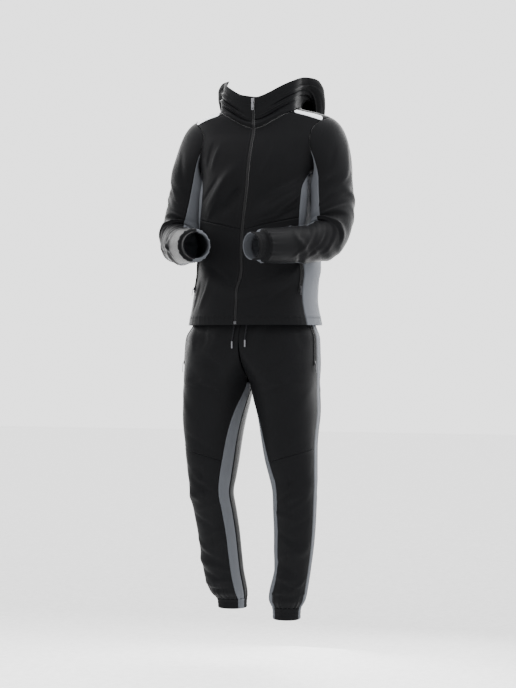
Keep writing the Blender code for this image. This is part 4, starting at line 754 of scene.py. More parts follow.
LEG_CREASES = {
    "left": (
        (18.0, 0.945, 0.040, 0.0060, 80.0, 0.0028, 0.0, 0.3),
        (32.0, 0.950, 0.036, 0.0060, 84.0, -0.0026, 0.0, 0.3),
        (48.0, 0.940, 0.040, 0.0060, 88.0, 0.0026, 0.0, 0.3),
        (64.0, 0.950, 0.034, 0.0060, 92.0, -0.0024, 0.0, 0.2),
        (22.0, 0.850, 0.060, 0.0090, 36.0, 0.0028, 0.6, 0.2),
        (14.0, 0.815, 0.050, 0.0080, 30.0, -0.0028, 0.5, 0.2),
        (38.0, 0.760, 0.060, 0.0120, 58.0, 0.0018, 0.0, 0.0),
        (10.0, 0.640, 0.045, 0.0100, 24.0, 0.0020, 0.0, 0.0),
        (-10.0, 0.575, 0.045, 0.0080, 20.0, -0.0026, 0.0, 0.0),
        (12.0, 0.535, 0.050, 0.0075, 24.0, 0.0034, -0.8, 0.2),
        (-4.0, 0.512, 0.050, 0.0070, 20.0, -0.0036, -0.8, 0.2),
        (20.0, 0.482, 0.045, 0.0070, 30.0, 0.0032, 0.0, 0.0),
        (-14.0, 0.455, 0.045, 0.0075, -14.0, 0.0028, 0.8, 0.0),
        (24.0, 0.430, 0.040, 0.0070, 22.0, -0.0028, 0.0, 0.0),
        (0.0, 0.395, 0.050, 0.0080, -18.0, -0.0028, 0.8, 0.0),
        (16.0, 0.365, 0.045, 0.0075, -26.0, 0.0030, 0.8, 0.0),
        (-16.0, 0.335, 0.040, 0.0070, 18.0, -0.0026, 0.0, 0.0),
        (14.0, 0.305, 0.045, 0.0070, -20.0, -0.0030, 0.8, 0.0),
        (-8.0, 0.282, 0.045, 0.0060, -8.0, 0.0034, 0.6, 0.0),
        (20.0, 0.258, 0.040, 0.0055, -14.0, -0.0034, 0.6, 0.0),
        (-20.0, 0.244, 0.036, 0.0050, 12.0, 0.0034, 0.0, 0.0),
        (40.0, 0.262, 0.036, 0.0055, 30.0, 0.0028, 0.0, 0.0),
        (4.0, 0.232, 0.040, 0.0045, -4.0, -0.0034, 0.0, 0.0),
        (60.0, 0.236, 0.034, 0.0045, 16.0, 0.0026, 0.0, 0.0),
        (165.0, 0.620, 0.050, 0.0080, 8.0, -0.0034, 0.6, 0.0),
        (190.0, 0.590, 0.050, 0.0080, -10.0, 0.0034, 0.6, 0.0),
        (175.0, 0.555, 0.055, 0.0075, 6.0, -0.0038, 0.0, 0.0),
        (150.0, 0.520, 0.045, 0.0075, 24.0, 0.0030, 0.0, 0.0),
        (200.0, 0.440, 0.045, 0.0080, -20.0, -0.0026, 0.0, 0.0),
        (165.0, 0.390, 0.050, 0.0080, 16.0, 0.0028, 0.0, 0.0),
        (190.0, 0.330, 0.045, 0.0075, -14.0, -0.0030, 0.0, 0.0),
        (170.0, 0.280, 0.050, 0.0065, 10.0, 0.0034, 0.0, 0.0),
        (180.0, 0.250, 0.050, 0.0055, 0.0, -0.0034, 0.0, 0.0),
        (150.0, 0.860, 0.060, 0.0100, -36.0, -0.0030, 0.0, 0.0),
        (140.0, 0.900, 0.050, 0.0090, -40.0, 0.0028, 0.0, 0.0),
        (160.0, 0.780, 0.060, 0.0100, -20.0, 0.0028, 0.0, 0.0),
        (120.0, 0.950, 0.036, 0.0060, 84.0, 0.0024, 0.0, 0.2),
        (140.0, 0.955, 0.036, 0.0060, 90.0, -0.0026, 0.0, 0.2),
        (158.0, 0.950, 0.036, 0.0060, 94.0, 0.0026, 0.0, 0.2),
    ),
    "right": (
        (14.0, 0.950, 0.036, 0.0060, 84.0, -0.0028, 0.0, 0.3),
        (28.0, 0.945, 0.042, 0.0060, 86.0, 0.0030, 0.0, 0.3),
        (44.0, 0.950, 0.040, 0.0060, 82.0, -0.0028, 0.0, 0.3),
        (58.0, 0.940, 0.042, 0.0065, 80.0, 0.0030, 0.0, 0.3),
        (72.0, 0.945, 0.036, 0.0060, 78.0, -0.0026, 0.0, 0.2),
        (26.0, 0.880, 0.060, 0.0080, 40.0, -0.0028, -0.5, 0.2),
        (20.0, 0.850, 0.060, 0.0080, 36.0, 0.0032, -0.5, 0.2),
        (12.0, 0.820, 0.050, 0.0075, 32.0, -0.0030, 0.0, 0.2),
        (40.0, 0.760, 0.060, 0.0110, 62.0, 0.0020, 0.0, 0.0),
        (10.0, 0.650, 0.045, 0.0100, 20.0, -0.0020, 0.0, 0.0),
        (22.0, 0.560, 0.040, 0.0080, 34.0, 0.0028, 0.0, 0.0),
        (8.0, 0.530, 0.045, 0.0075, 26.0, -0.0030, 0.0, 0.0),
        (30.0, 0.500, 0.040, 0.0070, 30.0, 0.0028, 0.0, 0.0),
        (0.0, 0.470, 0.045, 0.0075, -16.0, 0.0026, 0.6, 0.0),
        (24.0, 0.430, 0.045, 0.0080, 24.0, -0.0026, 0.0, 0.0),
        (4.0, 0.390, 0.050, 0.0080, -22.0, 0.0026, 0.6, 0.0),
        (30.0, 0.350, 0.045, 0.0075, 30.0, 0.0028, 0.0, 0.0),
        (10.0, 0.320, 0.045, 0.0070, 22.0, -0.0028, 0.0, 0.0),
        (-6.0, 0.292, 0.045, 0.0060, 14.0, 0.0032, 0.0, 0.0),
        (26.0, 0.270, 0.045, 0.0055, 20.0, -0.0034, 0.0, 0.0),
        (0.0, 0.250, 0.040, 0.0050, -6.0, 0.0036, 0.0, 0.0),
        (36.0, 0.238, 0.040, 0.0045, 10.0, 0.0030, 0.0, 0.0),
        (8.0, 0.225, 0.040, 0.0045, 0.0, -0.0034, 0.0, 0.0),
        (170.0, 0.610, 0.050, 0.0080, -8.0, -0.0034, 0.6, 0.0),
        (190.0, 0.580, 0.050, 0.0080, 10.0, 0.0034, 0.6, 0.0),
        (175.0, 0.545, 0.055, 0.0075, -6.0, -0.0038, 0.0, 0.0),
        (150.0, 0.500, 0.045, 0.0075, -24.0, 0.0030, 0.0, 0.0),
        (195.0, 0.430, 0.045, 0.0080, 20.0, -0.0026, 0.0, 0.0),
        (165.0, 0.370, 0.050, 0.0080, -16.0, 0.0028, 0.0, 0.0),
        (185.0, 0.310, 0.045, 0.0075, 14.0, -0.0030, 0.0, 0.0),
        (170.0, 0.270, 0.050, 0.0065, -10.0, 0.0034, 0.0, 0.0),
        (180.0, 0.240, 0.050, 0.0055, 0.0, -0.0034, 0.0, 0.0),
        (150.0, 0.850, 0.060, 0.0100, -32.0, 0.0030, 0.0, 0.0),
        (142.0, 0.890, 0.050, 0.0090, -42.0, -0.0028, 0.0, 0.0),
        (160.0, 0.770, 0.060, 0.0100, -22.0, -0.0028, 0.0, 0.0),
        (124.0, 0.950, 0.036, 0.0060, 82.0, -0.0024, 0.0, 0.2),
        (142.0, 0.950, 0.036, 0.0060, 92.0, 0.0026, 0.0, 0.2),
        (160.0, 0.955, 0.036, 0.0060, 90.0, -0.0026, 0.0, 0.2),
    ),
}

# Sizes and counts of folds, ribs, gathers, stitches, zips, pockets, strips and floor.
BODY_RADIUS = 0.150
HEM_DEPTH = 0.026
HOOD_SPAN = 0.30
HOOD_RADIUS = 0.105
HOOD_CREASES = (
    (30.0, 0.070, 0.060, 0.0070, 4.0, -0.0045, 0.8, 0.2),
    (44.0, 0.110, 0.060, 0.0080, 10.0, 0.0040, 0.8, 0.2),
    (58.0, 0.160, 0.055, 0.0080, 16.0, -0.0045, 0.6, 0.2),
    (70.0, 0.210, 0.050, 0.0090, 20.0, 0.0040, 0.0, 0.2),
    (90.0, 0.120, 0.060, 0.0090, 6.0, -0.0050, 0.0, 0.2),
    (104.0, 0.170, 0.055, 0.0090, -8.0, 0.0040, 0.0, 0.2),
    (128.0, 0.100, 0.060, 0.0090, 10.0, 0.0040, 0.0, 0.2),
    (150.0, 0.200, 0.070, 0.0100, -10.0, -0.0035, 0.0, 0.2),
    (176.0, 0.150, 0.060, 0.0110, 6.0, 0.0035, 0.0, 0.0),
    (-28.0, 0.060, 0.055, 0.0060, -6.0, -0.0045, -0.8, 0.2),
    (-40.0, 0.095, 0.055, 0.0070, -10.0, 0.0045, -0.8, 0.2),
    (-50.0, 0.135, 0.055, 0.0070, -14.0, -0.0050, -0.6, 0.2),
    (-62.0, 0.180, 0.050, 0.0080, -20.0, 0.0045, 0.0, 0.2),
    (-74.0, 0.225, 0.050, 0.0080, -16.0, -0.0040, 0.0, 0.2),
    (-88.0, 0.110, 0.060, 0.0080, -6.0, 0.0045, 0.0, 0.2),
    (-102.0, 0.160, 0.055, 0.0090, 8.0, -0.0045, 0.0, 0.2),
    (-126.0, 0.110, 0.060, 0.0090, -10.0, -0.0040, 0.0, 0.2),
    (-150.0, 0.190, 0.070, 0.0100, 10.0, 0.0035, 0.0, 0.2),
)
ARM_SAMPLES = 1200
GATHER_COUNT = 17
GATHER_HEIGHT = 0.0016
GATHER_REACH = 0.020
CUFF_RINGS = 26
RIB_COUNT = 46
RIB_HEIGHT = 0.00065
CHANNELS = 3
CHANNEL_DEPTH = 0.0008
FORK_SOFT_ROWS = 14.0
FORK_SOFT_TIMES = 60
LEG_RADIUS = 0.075
LEG_GATHERS = 22
WAIST_GATHER = 0.0011
WAIST_WAVES = 34
WAIST_RINGS = 24
STITCH_LENGTH = 0.0026
STITCH_GAP = 0.0009
STITCH_RADIUS = 0.00028
ZIP_TEETH_PITCH = 0.0016
ZIP_RISE = 0.0007
JACKET_POCKET_ROWS = (2.5, 5.0)
JACKET_POCKET_COLUMNS = (6.50, 6.76)
JOGGERS_POCKET_ROWS = (23.1, 26.8)
JOGGERS_POCKET_COLUMNS = (6.50, 6.70)
STRIP_ROWS = (0.10, 0.42)
STRIP_COLUMNS = (0.25, 2.85)
FLOOR_HALF = 12.0
PLAIN_GLOSS = 0.1


def crease_height(rows, angle_degrees, height, radius):
    """Sum over the creases of depth times exp(-s^2) times exp(-t^4): t is the
    distance along over the half length, and s the distance across the bowed
    line over a half width that is smaller on the upper side and fans out."""
    total = np.zeros(np.broadcast(angle_degrees, height).shape)
    for row in rows:
        crease = dict(zip(CREASE_COLUMNS, row))
        turn = (angle_degrees - crease["angle"] + 180.0) % 360.0 - 180.0
        run = np.radians(turn) * radius
        rise = height - crease["height"]
        tilt = math.radians(crease["slope"])
        along = run * math.cos(tilt) + rise * math.sin(tilt)
        across = -run * math.sin(tilt) + rise * math.cos(tilt) - crease["bow"] * along ** 2
        t = along / crease["half_length"]
        width = crease["half_width"] * (1.0 + crease["fan"] * np.clip(t, -1.5, 1.5))
        s = across / (width * np.where(across > 0.0, CREASE_STEEP, 2.0 - CREASE_STEEP))
        total = total + crease["depth"] * np.exp(-s * s - t ** 4)
    return total


def finer(values, times):
    """A run of values with times - 1 even steps put between each two."""
    values = np.asarray(values, dtype=float)
    places = np.linspace(0.0, len(values) - 1.0, (len(values) - 1) * times + 1)
    return np.interp(places, np.arange(len(values)), values)


def edge_distance(points, axis):
    """Distance along the grid lines from the first and the last line of an axis."""
    step = np.linalg.norm(np.diff(points, axis=axis), axis=-1)
    zero = np.zeros_like(np.take(step, [0], axis=axis))
    run = np.concatenate((zero, np.cumsum(step, axis=axis)), axis=axis)
    return run, np.take(run, [-1], axis=axis) - run


def with_edge_lines(grid, axis):
    """Grid with extra lines beside both edges of an axis, SEAM_LINES away."""
    grid = np.moveaxis(grid, axis, 0)
    ends = []
    for edge, inside in ((grid[0], grid[1]), (grid[-1], grid[-2])):
        reach = np.linalg.norm((inside - edge)[..., :3], axis=-1).mean()
        share = [min(line / reach, 0.33 * (count + 1)) for count, line in enumerate(SEAM_LINES)]
        ends.append([edge + (inside - edge) * each for each in share])
    low, high = np.stack(ends[0]), np.stack(ends[1][::-1])
    return np.moveaxis(np.concatenate((grid[:1], low, grid[1:-1], high, grid[-1:])), 0, axis)


def cloth(name, points, normal, material, nodes, wrap=False, flip=False, wall=WALL, seams=(1, 1, 1, 1),
          extra=None):
    """One piece of cloth: its outer grid with a groove along each seam, an inner
    grid one wall further in, and rims. seams names the first and last row and
    the first and last column; the groove is a bell of the distance from them."""
    field = np.concatenate((points, normal), axis=-1)
    if extra is not None:
        field = np.concatenate((field, extra), axis=-1)
    field = with_edge_lines(field, 0)
    if not wrap:
        field = with_edge_lines(field, 1)
    if flip:
        field = field[:, ::-1]
        seams = (seams[0], seams[1], seams[3], seams[2])
    points, normal = field[..., :3], unit(field[..., 3:6])
    from_start, from_end = edge_distance(points, 0)
    distances = [from_start if seams[0] else from_start + 1.0, from_end if seams[1] else from_end + 1.0]
    across = edge_distance(points, 1)
    if not wrap:
        distances += [across[0] if seams[2] else across[0] + 1.0, across[1] if seams[3] else across[1] + 1.0]
    near = np.minimum.reduce(distances)
    lift = (SWELL_HEIGHT * np.exp(-((near - SWELL_PLACE) / SWELL_WIDTH) ** 2)
            - GROOVE_DEPTH * np.exp(-(near / GROOVE_WIDTH) ** 2))
    outer = points + lift[..., None] * normal
    inner = points - wall * normal
    for axis in (0,) if wrap else (0, 1):
        for grid in (outer, inner):
            swung = np.moveaxis(grid, axis, 0)
            for edge, inside in ((0, 1), (-1, -2)):
                swung[edge] += SEAM_GAP * 0.5 * unit(swung[inside] - swung[edge])
    rows, columns = outer.shape[:2]
    count = rows * columns
    face = grid_faces(rows, columns, wrap)
    index = np.arange(count).reshape(rows, columns)
    if wrap:
        index = np.concatenate((index, index[:, :1]), axis=1)
    under = index + count
    faces = [face, face[:, ::-1] + count,
             np.stack((index[0, :-1], under[0, :-1], under[0, 1:], index[0, 1:]), axis=-1),
             np.stack((index[-1, 1:], under[-1, 1:], under[-1, :-1], index[-1, :-1]), axis=-1)]
    if not wrap:
        faces.append(np.stack((index[1:, 0], under[1:, 0], under[:-1, 0], index[:-1, 0]), axis=-1))
        faces.append(np.stack((index[:-1, -1], under[:-1, -1], under[1:, -1], index[1:, -1]), axis=-1))
    mesh = bpy.data.meshes.new(name)
    mesh.from_pydata(down(np.concatenate((outer.reshape(-1, 3), inner.reshape(-1, 3)))).tolist(), [],
                     np.concatenate(faces).tolist())
    mesh.update()
    middle = columns // 2
    u = (across[0] - across[0][:, middle:middle + 1]).reshape(-1)
    v = from_start.reshape(-1)
    set_uv(mesh, np.stack((np.tile(u, 2), np.tile(v, 2)), axis=-1))
    mesh.shade_smooth()
    mesh.set_sharp_from_angle(angle=math.radians(60.0))
    item = link(name, mesh, material)
    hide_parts(*nodes)
    size = [float(np.mean(across[0][:, -1])), float(np.mean(from_start[-1]))]
    if wrap:
        size[0] += float(np.linalg.norm(points[:, -1] - points[:, 0], axis=-1).mean())
    patch = outer[1:, 1:] - outer[:-1, :-1], outer[1:, :-1] - outer[:-1, 1:]
    area = float(0.5 * np.linalg.norm(np.cross(*patch), axis=-1).sum())
    if wrap:
        area *= columns / (columns - 1.0)
    widest = max(float(np.max(across[0][:, -1])), size[0])
    longest = max(float(np.max(from_start[-1])), size[1])
    area = min(area, widest * longest)
    return item, outer, normal


def side_stations(edge, armhole_end):
    """Rows of a side panel edge: even heights from the hem to the chest seam and
    on to the armpit, with the angle read from the table."""
    low = np.linspace(HEM_HEIGHT, CHEST_SEAM_SIDE, LOW_ROWS * BODY_FINE + 1)
    high = np.linspace(CHEST_SEAM_SIDE, ARMPIT_HEIGHT, MID_ROWS * BODY_FINE + 1)[1:]
    height = np.concatenate((low, high))
    rows = np.stack((read(SIDE_EDGES, SIDE_COLUMNS, edge, height), height), axis=1)
    rows[-1] = np.stack(armhole(armhole_end))
    return rows


def neck_stations(start, end, count):
    """Even angles along the neck seam with the seam's height at each."""
    angle = np.linspace(start, end, count * BODY_FINE + 1)
    return np.stack((angle, neck_height(angle)), axis=1)


def armhole_stations(sleeve_degrees):
    """Angle and height of the armhole seam at sleeve angles."""
    return np.stack(armhole(np.array(sleeve_degrees)), axis=1)


def zip_stations(start, end, count):
    """Even heights up the edge of the front opening with its angle at each."""
    height = np.linspace(start, end, count + 1)
    return np.stack((zip_angle(height), height), axis=1)


def mirrored(stations):
    """The same stations on the wearer's right: 360 degrees less the angle."""
    return np.stack((360.0 - stations[:, 0], stations[:, 1]), axis=1)


def jacket_patches():
    """Station grids of the jacket's left half and back, each filled from its
    four edges: the straight blend of two sides plus the bends of the others."""
    k = BODY_FINE
    front_side = side_stations("front_edge", ARMHOLE_FRONT[-1])
    back_side = side_stations("back_edge", ARMHOLE_BACK[0])
    front_hole = armhole_stations(finer(ARMHOLE_FRONT[::-1], k))
    back_hole = armhole_stations(finer(ARMHOLE_BACK, k))
    neck_front = neck_stations(float(zip_angle(NECK_FRONT)), YOKE_FRONT_ANGLE, NECK_FRONT_SPANS)
    neck_side = neck_stations(YOKE_FRONT_ANGLE, YOKE_BACK_ANGLE, YOKE_SPANS)
    neck_back = neck_stations(YOKE_BACK_ANGLE, 360.0 - YOKE_BACK_ANGLE, NECK_BACK_SPANS)
    yoke_front = between(neck_front[-1], front_hole[-1], YOKE_COLUMNS * k)
    yoke_back = between(neck_back[0], back_hole[-1], YOKE_COLUMNS * k)
    yoke_end = armhole_stations(np.linspace(ARMHOLE_FRONT[0], ARMHOLE_BACK[-1] - 360.0, YOKE_SPANS * k + 1))
    columns = (NECK_FRONT_SPANS + YOKE_COLUMNS) * k
    seam_row = LOW_ROWS * k
    hem = between((zip_angle(HEM_HEIGHT), HEM_HEIGHT), front_side[0], columns)
    chest = between((zip_angle(CHEST_SEAM_ZIP), CHEST_SEAM_ZIP), front_side[seam_row], columns)
    zip_low = zip_stations(HEM_HEIGHT, CHEST_SEAM_ZIP, seam_row)
    edge_high = np.concatenate((front_side[seam_row:], front_hole[1:]))
    zip_high = zip_stations(CHEST_SEAM_ZIP, NECK_FRONT, len(edge_high) - 1)
    top = np.concatenate((neck_front, yoke_front[1:]))
    back_left = np.concatenate((back_side, back_hole[1:]))
    back_top = np.concatenate((yoke_back[::-1], neck_back[1:-1], mirrored(yoke_back)))
    back_hem = between(back_side[0], mirrored(back_side[:1])[0], len(back_top) - 1)
    return {
        "front_lower": coons(zip_low, front_side[:seam_row + 1], hem, chest),
        "front_upper": coons(zip_high, edge_high, chest, top, EDGE_HOLD),
        "side": coons(front_side, back_side, between(front_side[0], back_side[0], 3 * k),
                      between(front_side[-1], back_side[-1], 3 * k)),
        "yoke": coons(neck_side, yoke_end, yoke_front, yoke_back),
        "back": coons(back_left, mirrored(back_left), back_hem, back_top, EDGE_HOLD),
        "zip_rows": np.concatenate((zip_low, zip_high[1:])),
        "neck": np.concatenate((neck_front, neck_side[1:], neck_back[1:])),
    }


def creased_body(angle, height):
    """Jacket surface with its creases: the plain surface moved out along its
    normal by the crease height, which fades to nothing at the armhole, neck."""
    plain = body_point(angle, height)
    normal = body_normal(angle, height)
    fade = smooth_step((1.500 - height) / 0.060) * smooth_step((height - HEM_HEIGHT - 0.006) / 0.040)
    lift = crease_height(BODY_CREASES, angle, height, BODY_RADIUS) * fade
    return plain + lift[..., None] * normal


def hem_roll(points, normal):
    """Turned hem: the lowest centimetres stand a little proud with a soft step
    at the stitch line and tiny puckers, sines of the way round."""
    rise = points[..., 2] - HEM_HEIGHT
    around = np.arctan2(points[..., 0], -points[..., 1])
    band = 1.0 - smooth_step((rise - HEM_DEPTH) / 0.003)
    pucker = np.sin(around * 61.0) * 0.5 + np.sin(around * 97.0 + 1.3) * 0.5
    line = np.exp(-((rise - HEM_DEPTH + 0.0035) / 0.0016) ** 2)
    return points + (0.0010 * band - 0.0008 * line + 0.0003 * pucker * band)[..., None] * normal


def make_jacket(materials, patches, grids):
    """Fronts, side panels, yokes and the back of the jacket."""
    finish = {"front_lower": "black", "front_upper": "black", "side": "grey", "yoke": "black"}
    seams = {"front_lower": (0, 1, 1, 1), "front_upper": (1, 1, 1, 1), "side": (0, 1, 1, 1),
             "yoke": (1, 1, 1, 1)}
    for piece, slot in finish.items():
        for label, side in SIDES:
            stations = patches[piece]
            points = creased_body(stations[..., 0] * side, stations[..., 1])
            normal = side * grid_normals(points, False)
            if seams[piece][0] == 0:
                points = hem_roll(points, normal)
            name = f"jacket_{piece}_{label}"
            cloth(f"{name}_cloth", points, normal, materials[slot], [name],
                  flip=side < 0, seams=seams[piece])
            grids[piece, label] = (points, normal)
    stations = patches["back"]
    points = creased_body(stations[..., 0], stations[..., 1])
    normal = grid_normals(points, False)
    points = hem_roll(points, normal)
    cloth("jacket_back_cloth", points, normal, materials["black"], ["jacket_back"], seams=(0, 1, 1, 1))
    grids["back", "both"] = (points, normal)


def hood_grid(neck, runs):
    """Hood surface: from the neck seam each row goes out and up by the profile
    table, a blend of the front and the back columns by the angle, with a flare
    at each side, and is kept clear of the body below."""
    angle = neck[:, 0]
    base = body_point(angle, neck[:, 1])
    turn = np.abs((angle + 180.0) % 360.0 - 180.0)
    signed = (angle + 180.0) % 360.0 - 180.0
    weight = smooth_step((turn - 60.0) / 104.0)
    drop = smooth_step((turn - 84.0) / 88.0)
    heading = np.radians(angle)
    spread = np.stack((np.sin(heading), -np.cos(heading), np.zeros(len(angle))), axis=-1)
    flare = (HOOD_FLARE_LEFT * np.exp(-((signed - 84.0) / 30.0) ** 2)
             + HOOD_FLARE_RIGHT * np.exp(-((signed + 74.0) / 26.0) ** 2))
    rows = []
    for run in runs:
        out = sum(read(HOOD_PROFILE, HOOD_COLUMNS, name, run) * share
                  for name, share in (("front_out", 1.0 - weight), ("back_out", weight)))
        rise = sum(read(HOOD_PROFILE, HOOD_COLUMNS, name, run) * share
                   for name, share in (("front_up", 1.0 - drop), ("back_up", drop)))
        out = out + flare * run ** 1.5
        row = base + spread * out[:, None] + np.array((0.0, 0.0, 1.0)) * rise[:, None]
        rows.append(row if run == 0.0 else clear_of_body(row, HOOD_CLEARANCE * min(1.0, run / 0.10)))
    return np.stack(rows)


def hood_creases(points, normal, angle, runs):
    """Hood surface moved by its creases, laid out by angle round the neck and
    by the run from the seam, one run counted as HOOD_SPAN of cloth."""
    rise = np.broadcast_to((np.array(runs) * HOOD_SPAN)[:, None], points.shape[:2])
    signed = np.broadcast_to((angle + 180.0) % 360.0 - 180.0, points.shape[:2])
    lift = crease_height(HOOD_CREASES, signed, rise, HOOD_RADIUS)
    fade = smooth_step(rise / 0.030)
    return points + (lift * fade)[..., None] * normal


def make_hood(materials, patches, grids):
    """Two hood halves with the stand at the front; a turned edge round the opening."""
    neck_left = patches["neck"]
    first = neck_left[:1]
    side_back = neck_left[:(NECK_FRONT_SPANS + YOKE_SPANS) * BODY_FINE][::-1]
    whole = np.concatenate((neck_left, mirrored(side_back)))
    whole[-1] = mirrored(first)[0]
    runs = finer(HOOD_ROWS, HOOD_FINE)
    grid = hood_grid(whole, runs)
    normal = grid_normals(grid, False)
    grid = hood_creases(grid, normal, whole[:, 0], runs)
    _, to_edge = edge_distance(grid, 0)
    band = 0.0010 * (1.0 - smooth_step((to_edge - 0.022) / 0.003))
    line = 0.0008 * np.exp(-((to_edge - 0.0195) / 0.0014) ** 2)
    grid = grid + (band - line)[..., None] * normal
    normal = grid_normals(grid, False)
    middle = len(whole) // 2
    for label, part in (("left", slice(0, middle + 1)), ("right", slice(middle, None))):
        cloth(f"hood_{label}_cloth", grid[:, part], normal[:, part], materials["black"], [f"hood_{label}"],
              seams=(1, 0, 1, 1))
    grids["hood"] = (grid, normal)


def sleeve_grid(table, side, degrees):
    """Sleeve surface: a cubic swings from the armhole seam to the first ring,
    then ovals of the table's half sizes stand square to the arm's line. Folds
    and creases move it along its normal, and it gathers towards the cuff."""
    k = SLEEVE_FINE
    turn = np.radians(degrees)
    axis, length = arm_axis(table, ARM_SAMPLES)
    along, fronts = arm_frames(axis)
    outers = side * np.cross(fronts, along)
    stations = np.linspace(SHOULDER_LENGTH, length - CUFF_LENGTH, (SLEEVE_RINGS - 1) * k + 1)
    spot = np.round(stations / length * (ARM_SAMPLES - 1)).astype(int)
    tube = (axis[spot, None, :3]
            + outers[spot, None, :] * (axis[spot, 3:4] * np.cos(turn))[..., None]
            + fronts[spot, None, :] * (axis[spot, 4:5] * np.sin(turn))[..., None])
    angle, height = armhole(degrees)
    seam = body_point(angle * side, height)
    leave = np.stack((side * (0.60 + 0.40 * np.cos(turn)), -0.35 * np.sin(turn),
                      -0.35 - 0.45 * (1.0 - np.cos(turn))), axis=-1)
    span = np.linalg.norm(tube[0] - seam, axis=1, keepdims=True)
    start = 0.85 * span * unit(leave)
    end = 0.85 * span * along[spot[0]]
    t = np.linspace(0.0, 1.0, SHOULDER_RINGS * k + 1)[:-1, None, None]
    cap = ((1 + 2 * t) * (1 - t) ** 2 * seam + t * (1 - t) ** 2 * start
           + t * t * (3 - 2 * t) * tube[0] - t * t * (1 - t) * end)
    grid = np.concatenate((cap, tube))
    inner = np.abs(degrees - 190.0) < INNER_ARM_HALF
    for row in range(1, (SHOULDER_RINGS + 3) * k):
        gap = ARMPIT_CLEARANCE * min(1.0, 0.5 * row / k)
        grid[row, inner] = clear_of_body(grid[row, inner], gap)
    normal = side * grid_normals(grid, True)
    steps = np.linalg.norm(np.diff(grid.mean(axis=1), axis=0), axis=1)
    run = np.concatenate(([0.0], np.cumsum(steps)))[:, None]
    around = np.broadcast_to(degrees, grid.shape[:2])
    fade = smooth_step(run / 0.05) * smooth_step((run[-1] - run) / 0.02)
    lift = (fold_height(SLEEVE_FOLDS, around, run, SLEEVE_RADIUS)
            + crease_height(SLEEVE_CREASES, around, run, SLEEVE_RADIUS)) * fade
    lift = lift + gathers(turn, run[-1] - run, GATHER_COUNT, GATHER_HEIGHT, GATHER_REACH)
    grid = grid + normal * lift[..., None]
    rings = np.linspace(0.0, 1.0, CUFF_RINGS + 1)
    spot = np.round((length - CUFF_LENGTH * (1.0 - rings)) / length * (ARM_SAMPLES - 1)).astype(int)
    narrow = smooth_step(rings / 0.22)[:, None]
    wide = axis[spot, 3:4] * (1.0 - narrow) + CUFF_HALF * narrow
    deep = axis[spot, 4:5] * (1.0 - narrow) + CUFF_HALF * narrow
    wide[0], deep[0] = axis[spot[0], 3], axis[spot[0], 4]
    cuff = (axis[spot, None, :3] + outers[spot, None, :] * (wide * np.cos(turn))[..., None]
            + fronts[spot, None, :] * (deep * np.sin(turn))[..., None])
    out = unit(cuff - axis[spot, None, :3])
    cuff = cuff + out * cuff_ribs(turn, rings)[..., None]
    cuff[0] = grid[-1]
    return grid, side * grid_normals(grid, True), cuff, side * grid_normals(cuff, True)


def gathers(turn, distance, count, height, reach):
    """Small folds that run into a cuff: the sum of two sines round the sleeve,
    shrinking as exp(-distance / reach)."""
    wave = 0.6 * np.sin(count * turn + 0.4) + 0.4 * np.sin((1.6 * count) // 1 * turn + 1.9)
    return height * wave * np.exp(-distance / reach)


def cuff_ribs(turn, rings):
    """Elastic cuff relief: fine upright ribs, a cosine round it, under three
    round channels, a cosine of the place along it."""
    rib = RIB_HEIGHT * np.cos(RIB_COUNT * turn)[None, :] * (0.75 + 0.25 * np.cos(7.0 * turn + 0.8))[None, :]
    channel = -CHANNEL_DEPTH * np.exp(-((rings[:, None] * CHANNELS % 1.0) / 0.16) ** 2)
    start = smooth_step(rings / 0.12)[:, None]
    return (rib + channel) * start


def stripe_faces(item, columns, start, stop, material):
    """Give the faces between two columns of a wrapped piece a second material."""
    mesh = item.data
    if len(mesh.materials) < 2:
        mesh.materials.append(material)
    count = len(mesh.vertices)
    corner = np.empty(len(mesh.loops), dtype=np.int32)
    mesh.loops.foreach_get("vertex_index", corner)
    column = np.min((corner.reshape(-1, 4) % (count // 2)) % columns, axis=1)
    high = np.max((corner.reshape(-1, 4) % (count // 2)) % columns, axis=1)
    column = np.where(high - column > 2, high, column)
    chosen = (column >= start) & (column < stop)
    already = np.empty(len(mesh.polygons), dtype=np.int32)
    mesh.polygons.foreach_get("material_index", already)
    mesh.polygons.foreach_set("material_index", np.maximum(already, chosen.astype(np.int32)))


def make_sleeves(materials, grids):
    """Upper and under sleeves with their elastic cuffs."""
    k = SLEEVE_FINE
    degrees = finer(SLEEVE_ANGLES + (SLEEVE_ANGLES[0] + 360.0,), k)[:-1]
    under = UNDER_START * k
    for label, side in SIDES:
        grid, normal, cuff, cuff_normal = sleeve_grid(ARM_LEFT if side > 0 else ARM_RIGHT, side, degrees)
        closed = np.concatenate((grid, grid[:, :1]), axis=1)
        facing = np.concatenate((normal, normal[:, :1]), axis=1)
        parts = (("upper", slice(0, under + 1), "black"), ("under", slice(under, None), "grey"))
        for piece, part, slot in parts:
            cloth(f"sleeve_{piece}_{label}_cloth", closed[:, part], facing[:, part], materials[slot],
                  [f"sleeve_{piece}_{label}"], flip=side < 0)
        columns = len(degrees)
        band, _, _ = cloth(f"cuff_{label}_cloth", cuff, cuff_normal, materials["black_rib"],
                           [f"cuff_{label}"], wrap=True, flip=side < 0, wall=CUFF_WALL, seams=(1, 0, 0, 0))
        start, stop = under, columns
        if side < 0:
            start, stop = 0, columns - 1 - under
        stripe_faces(band, columns, start, stop, materials["grey_rib"])
        grids["sleeve", label] = (grid, normal)


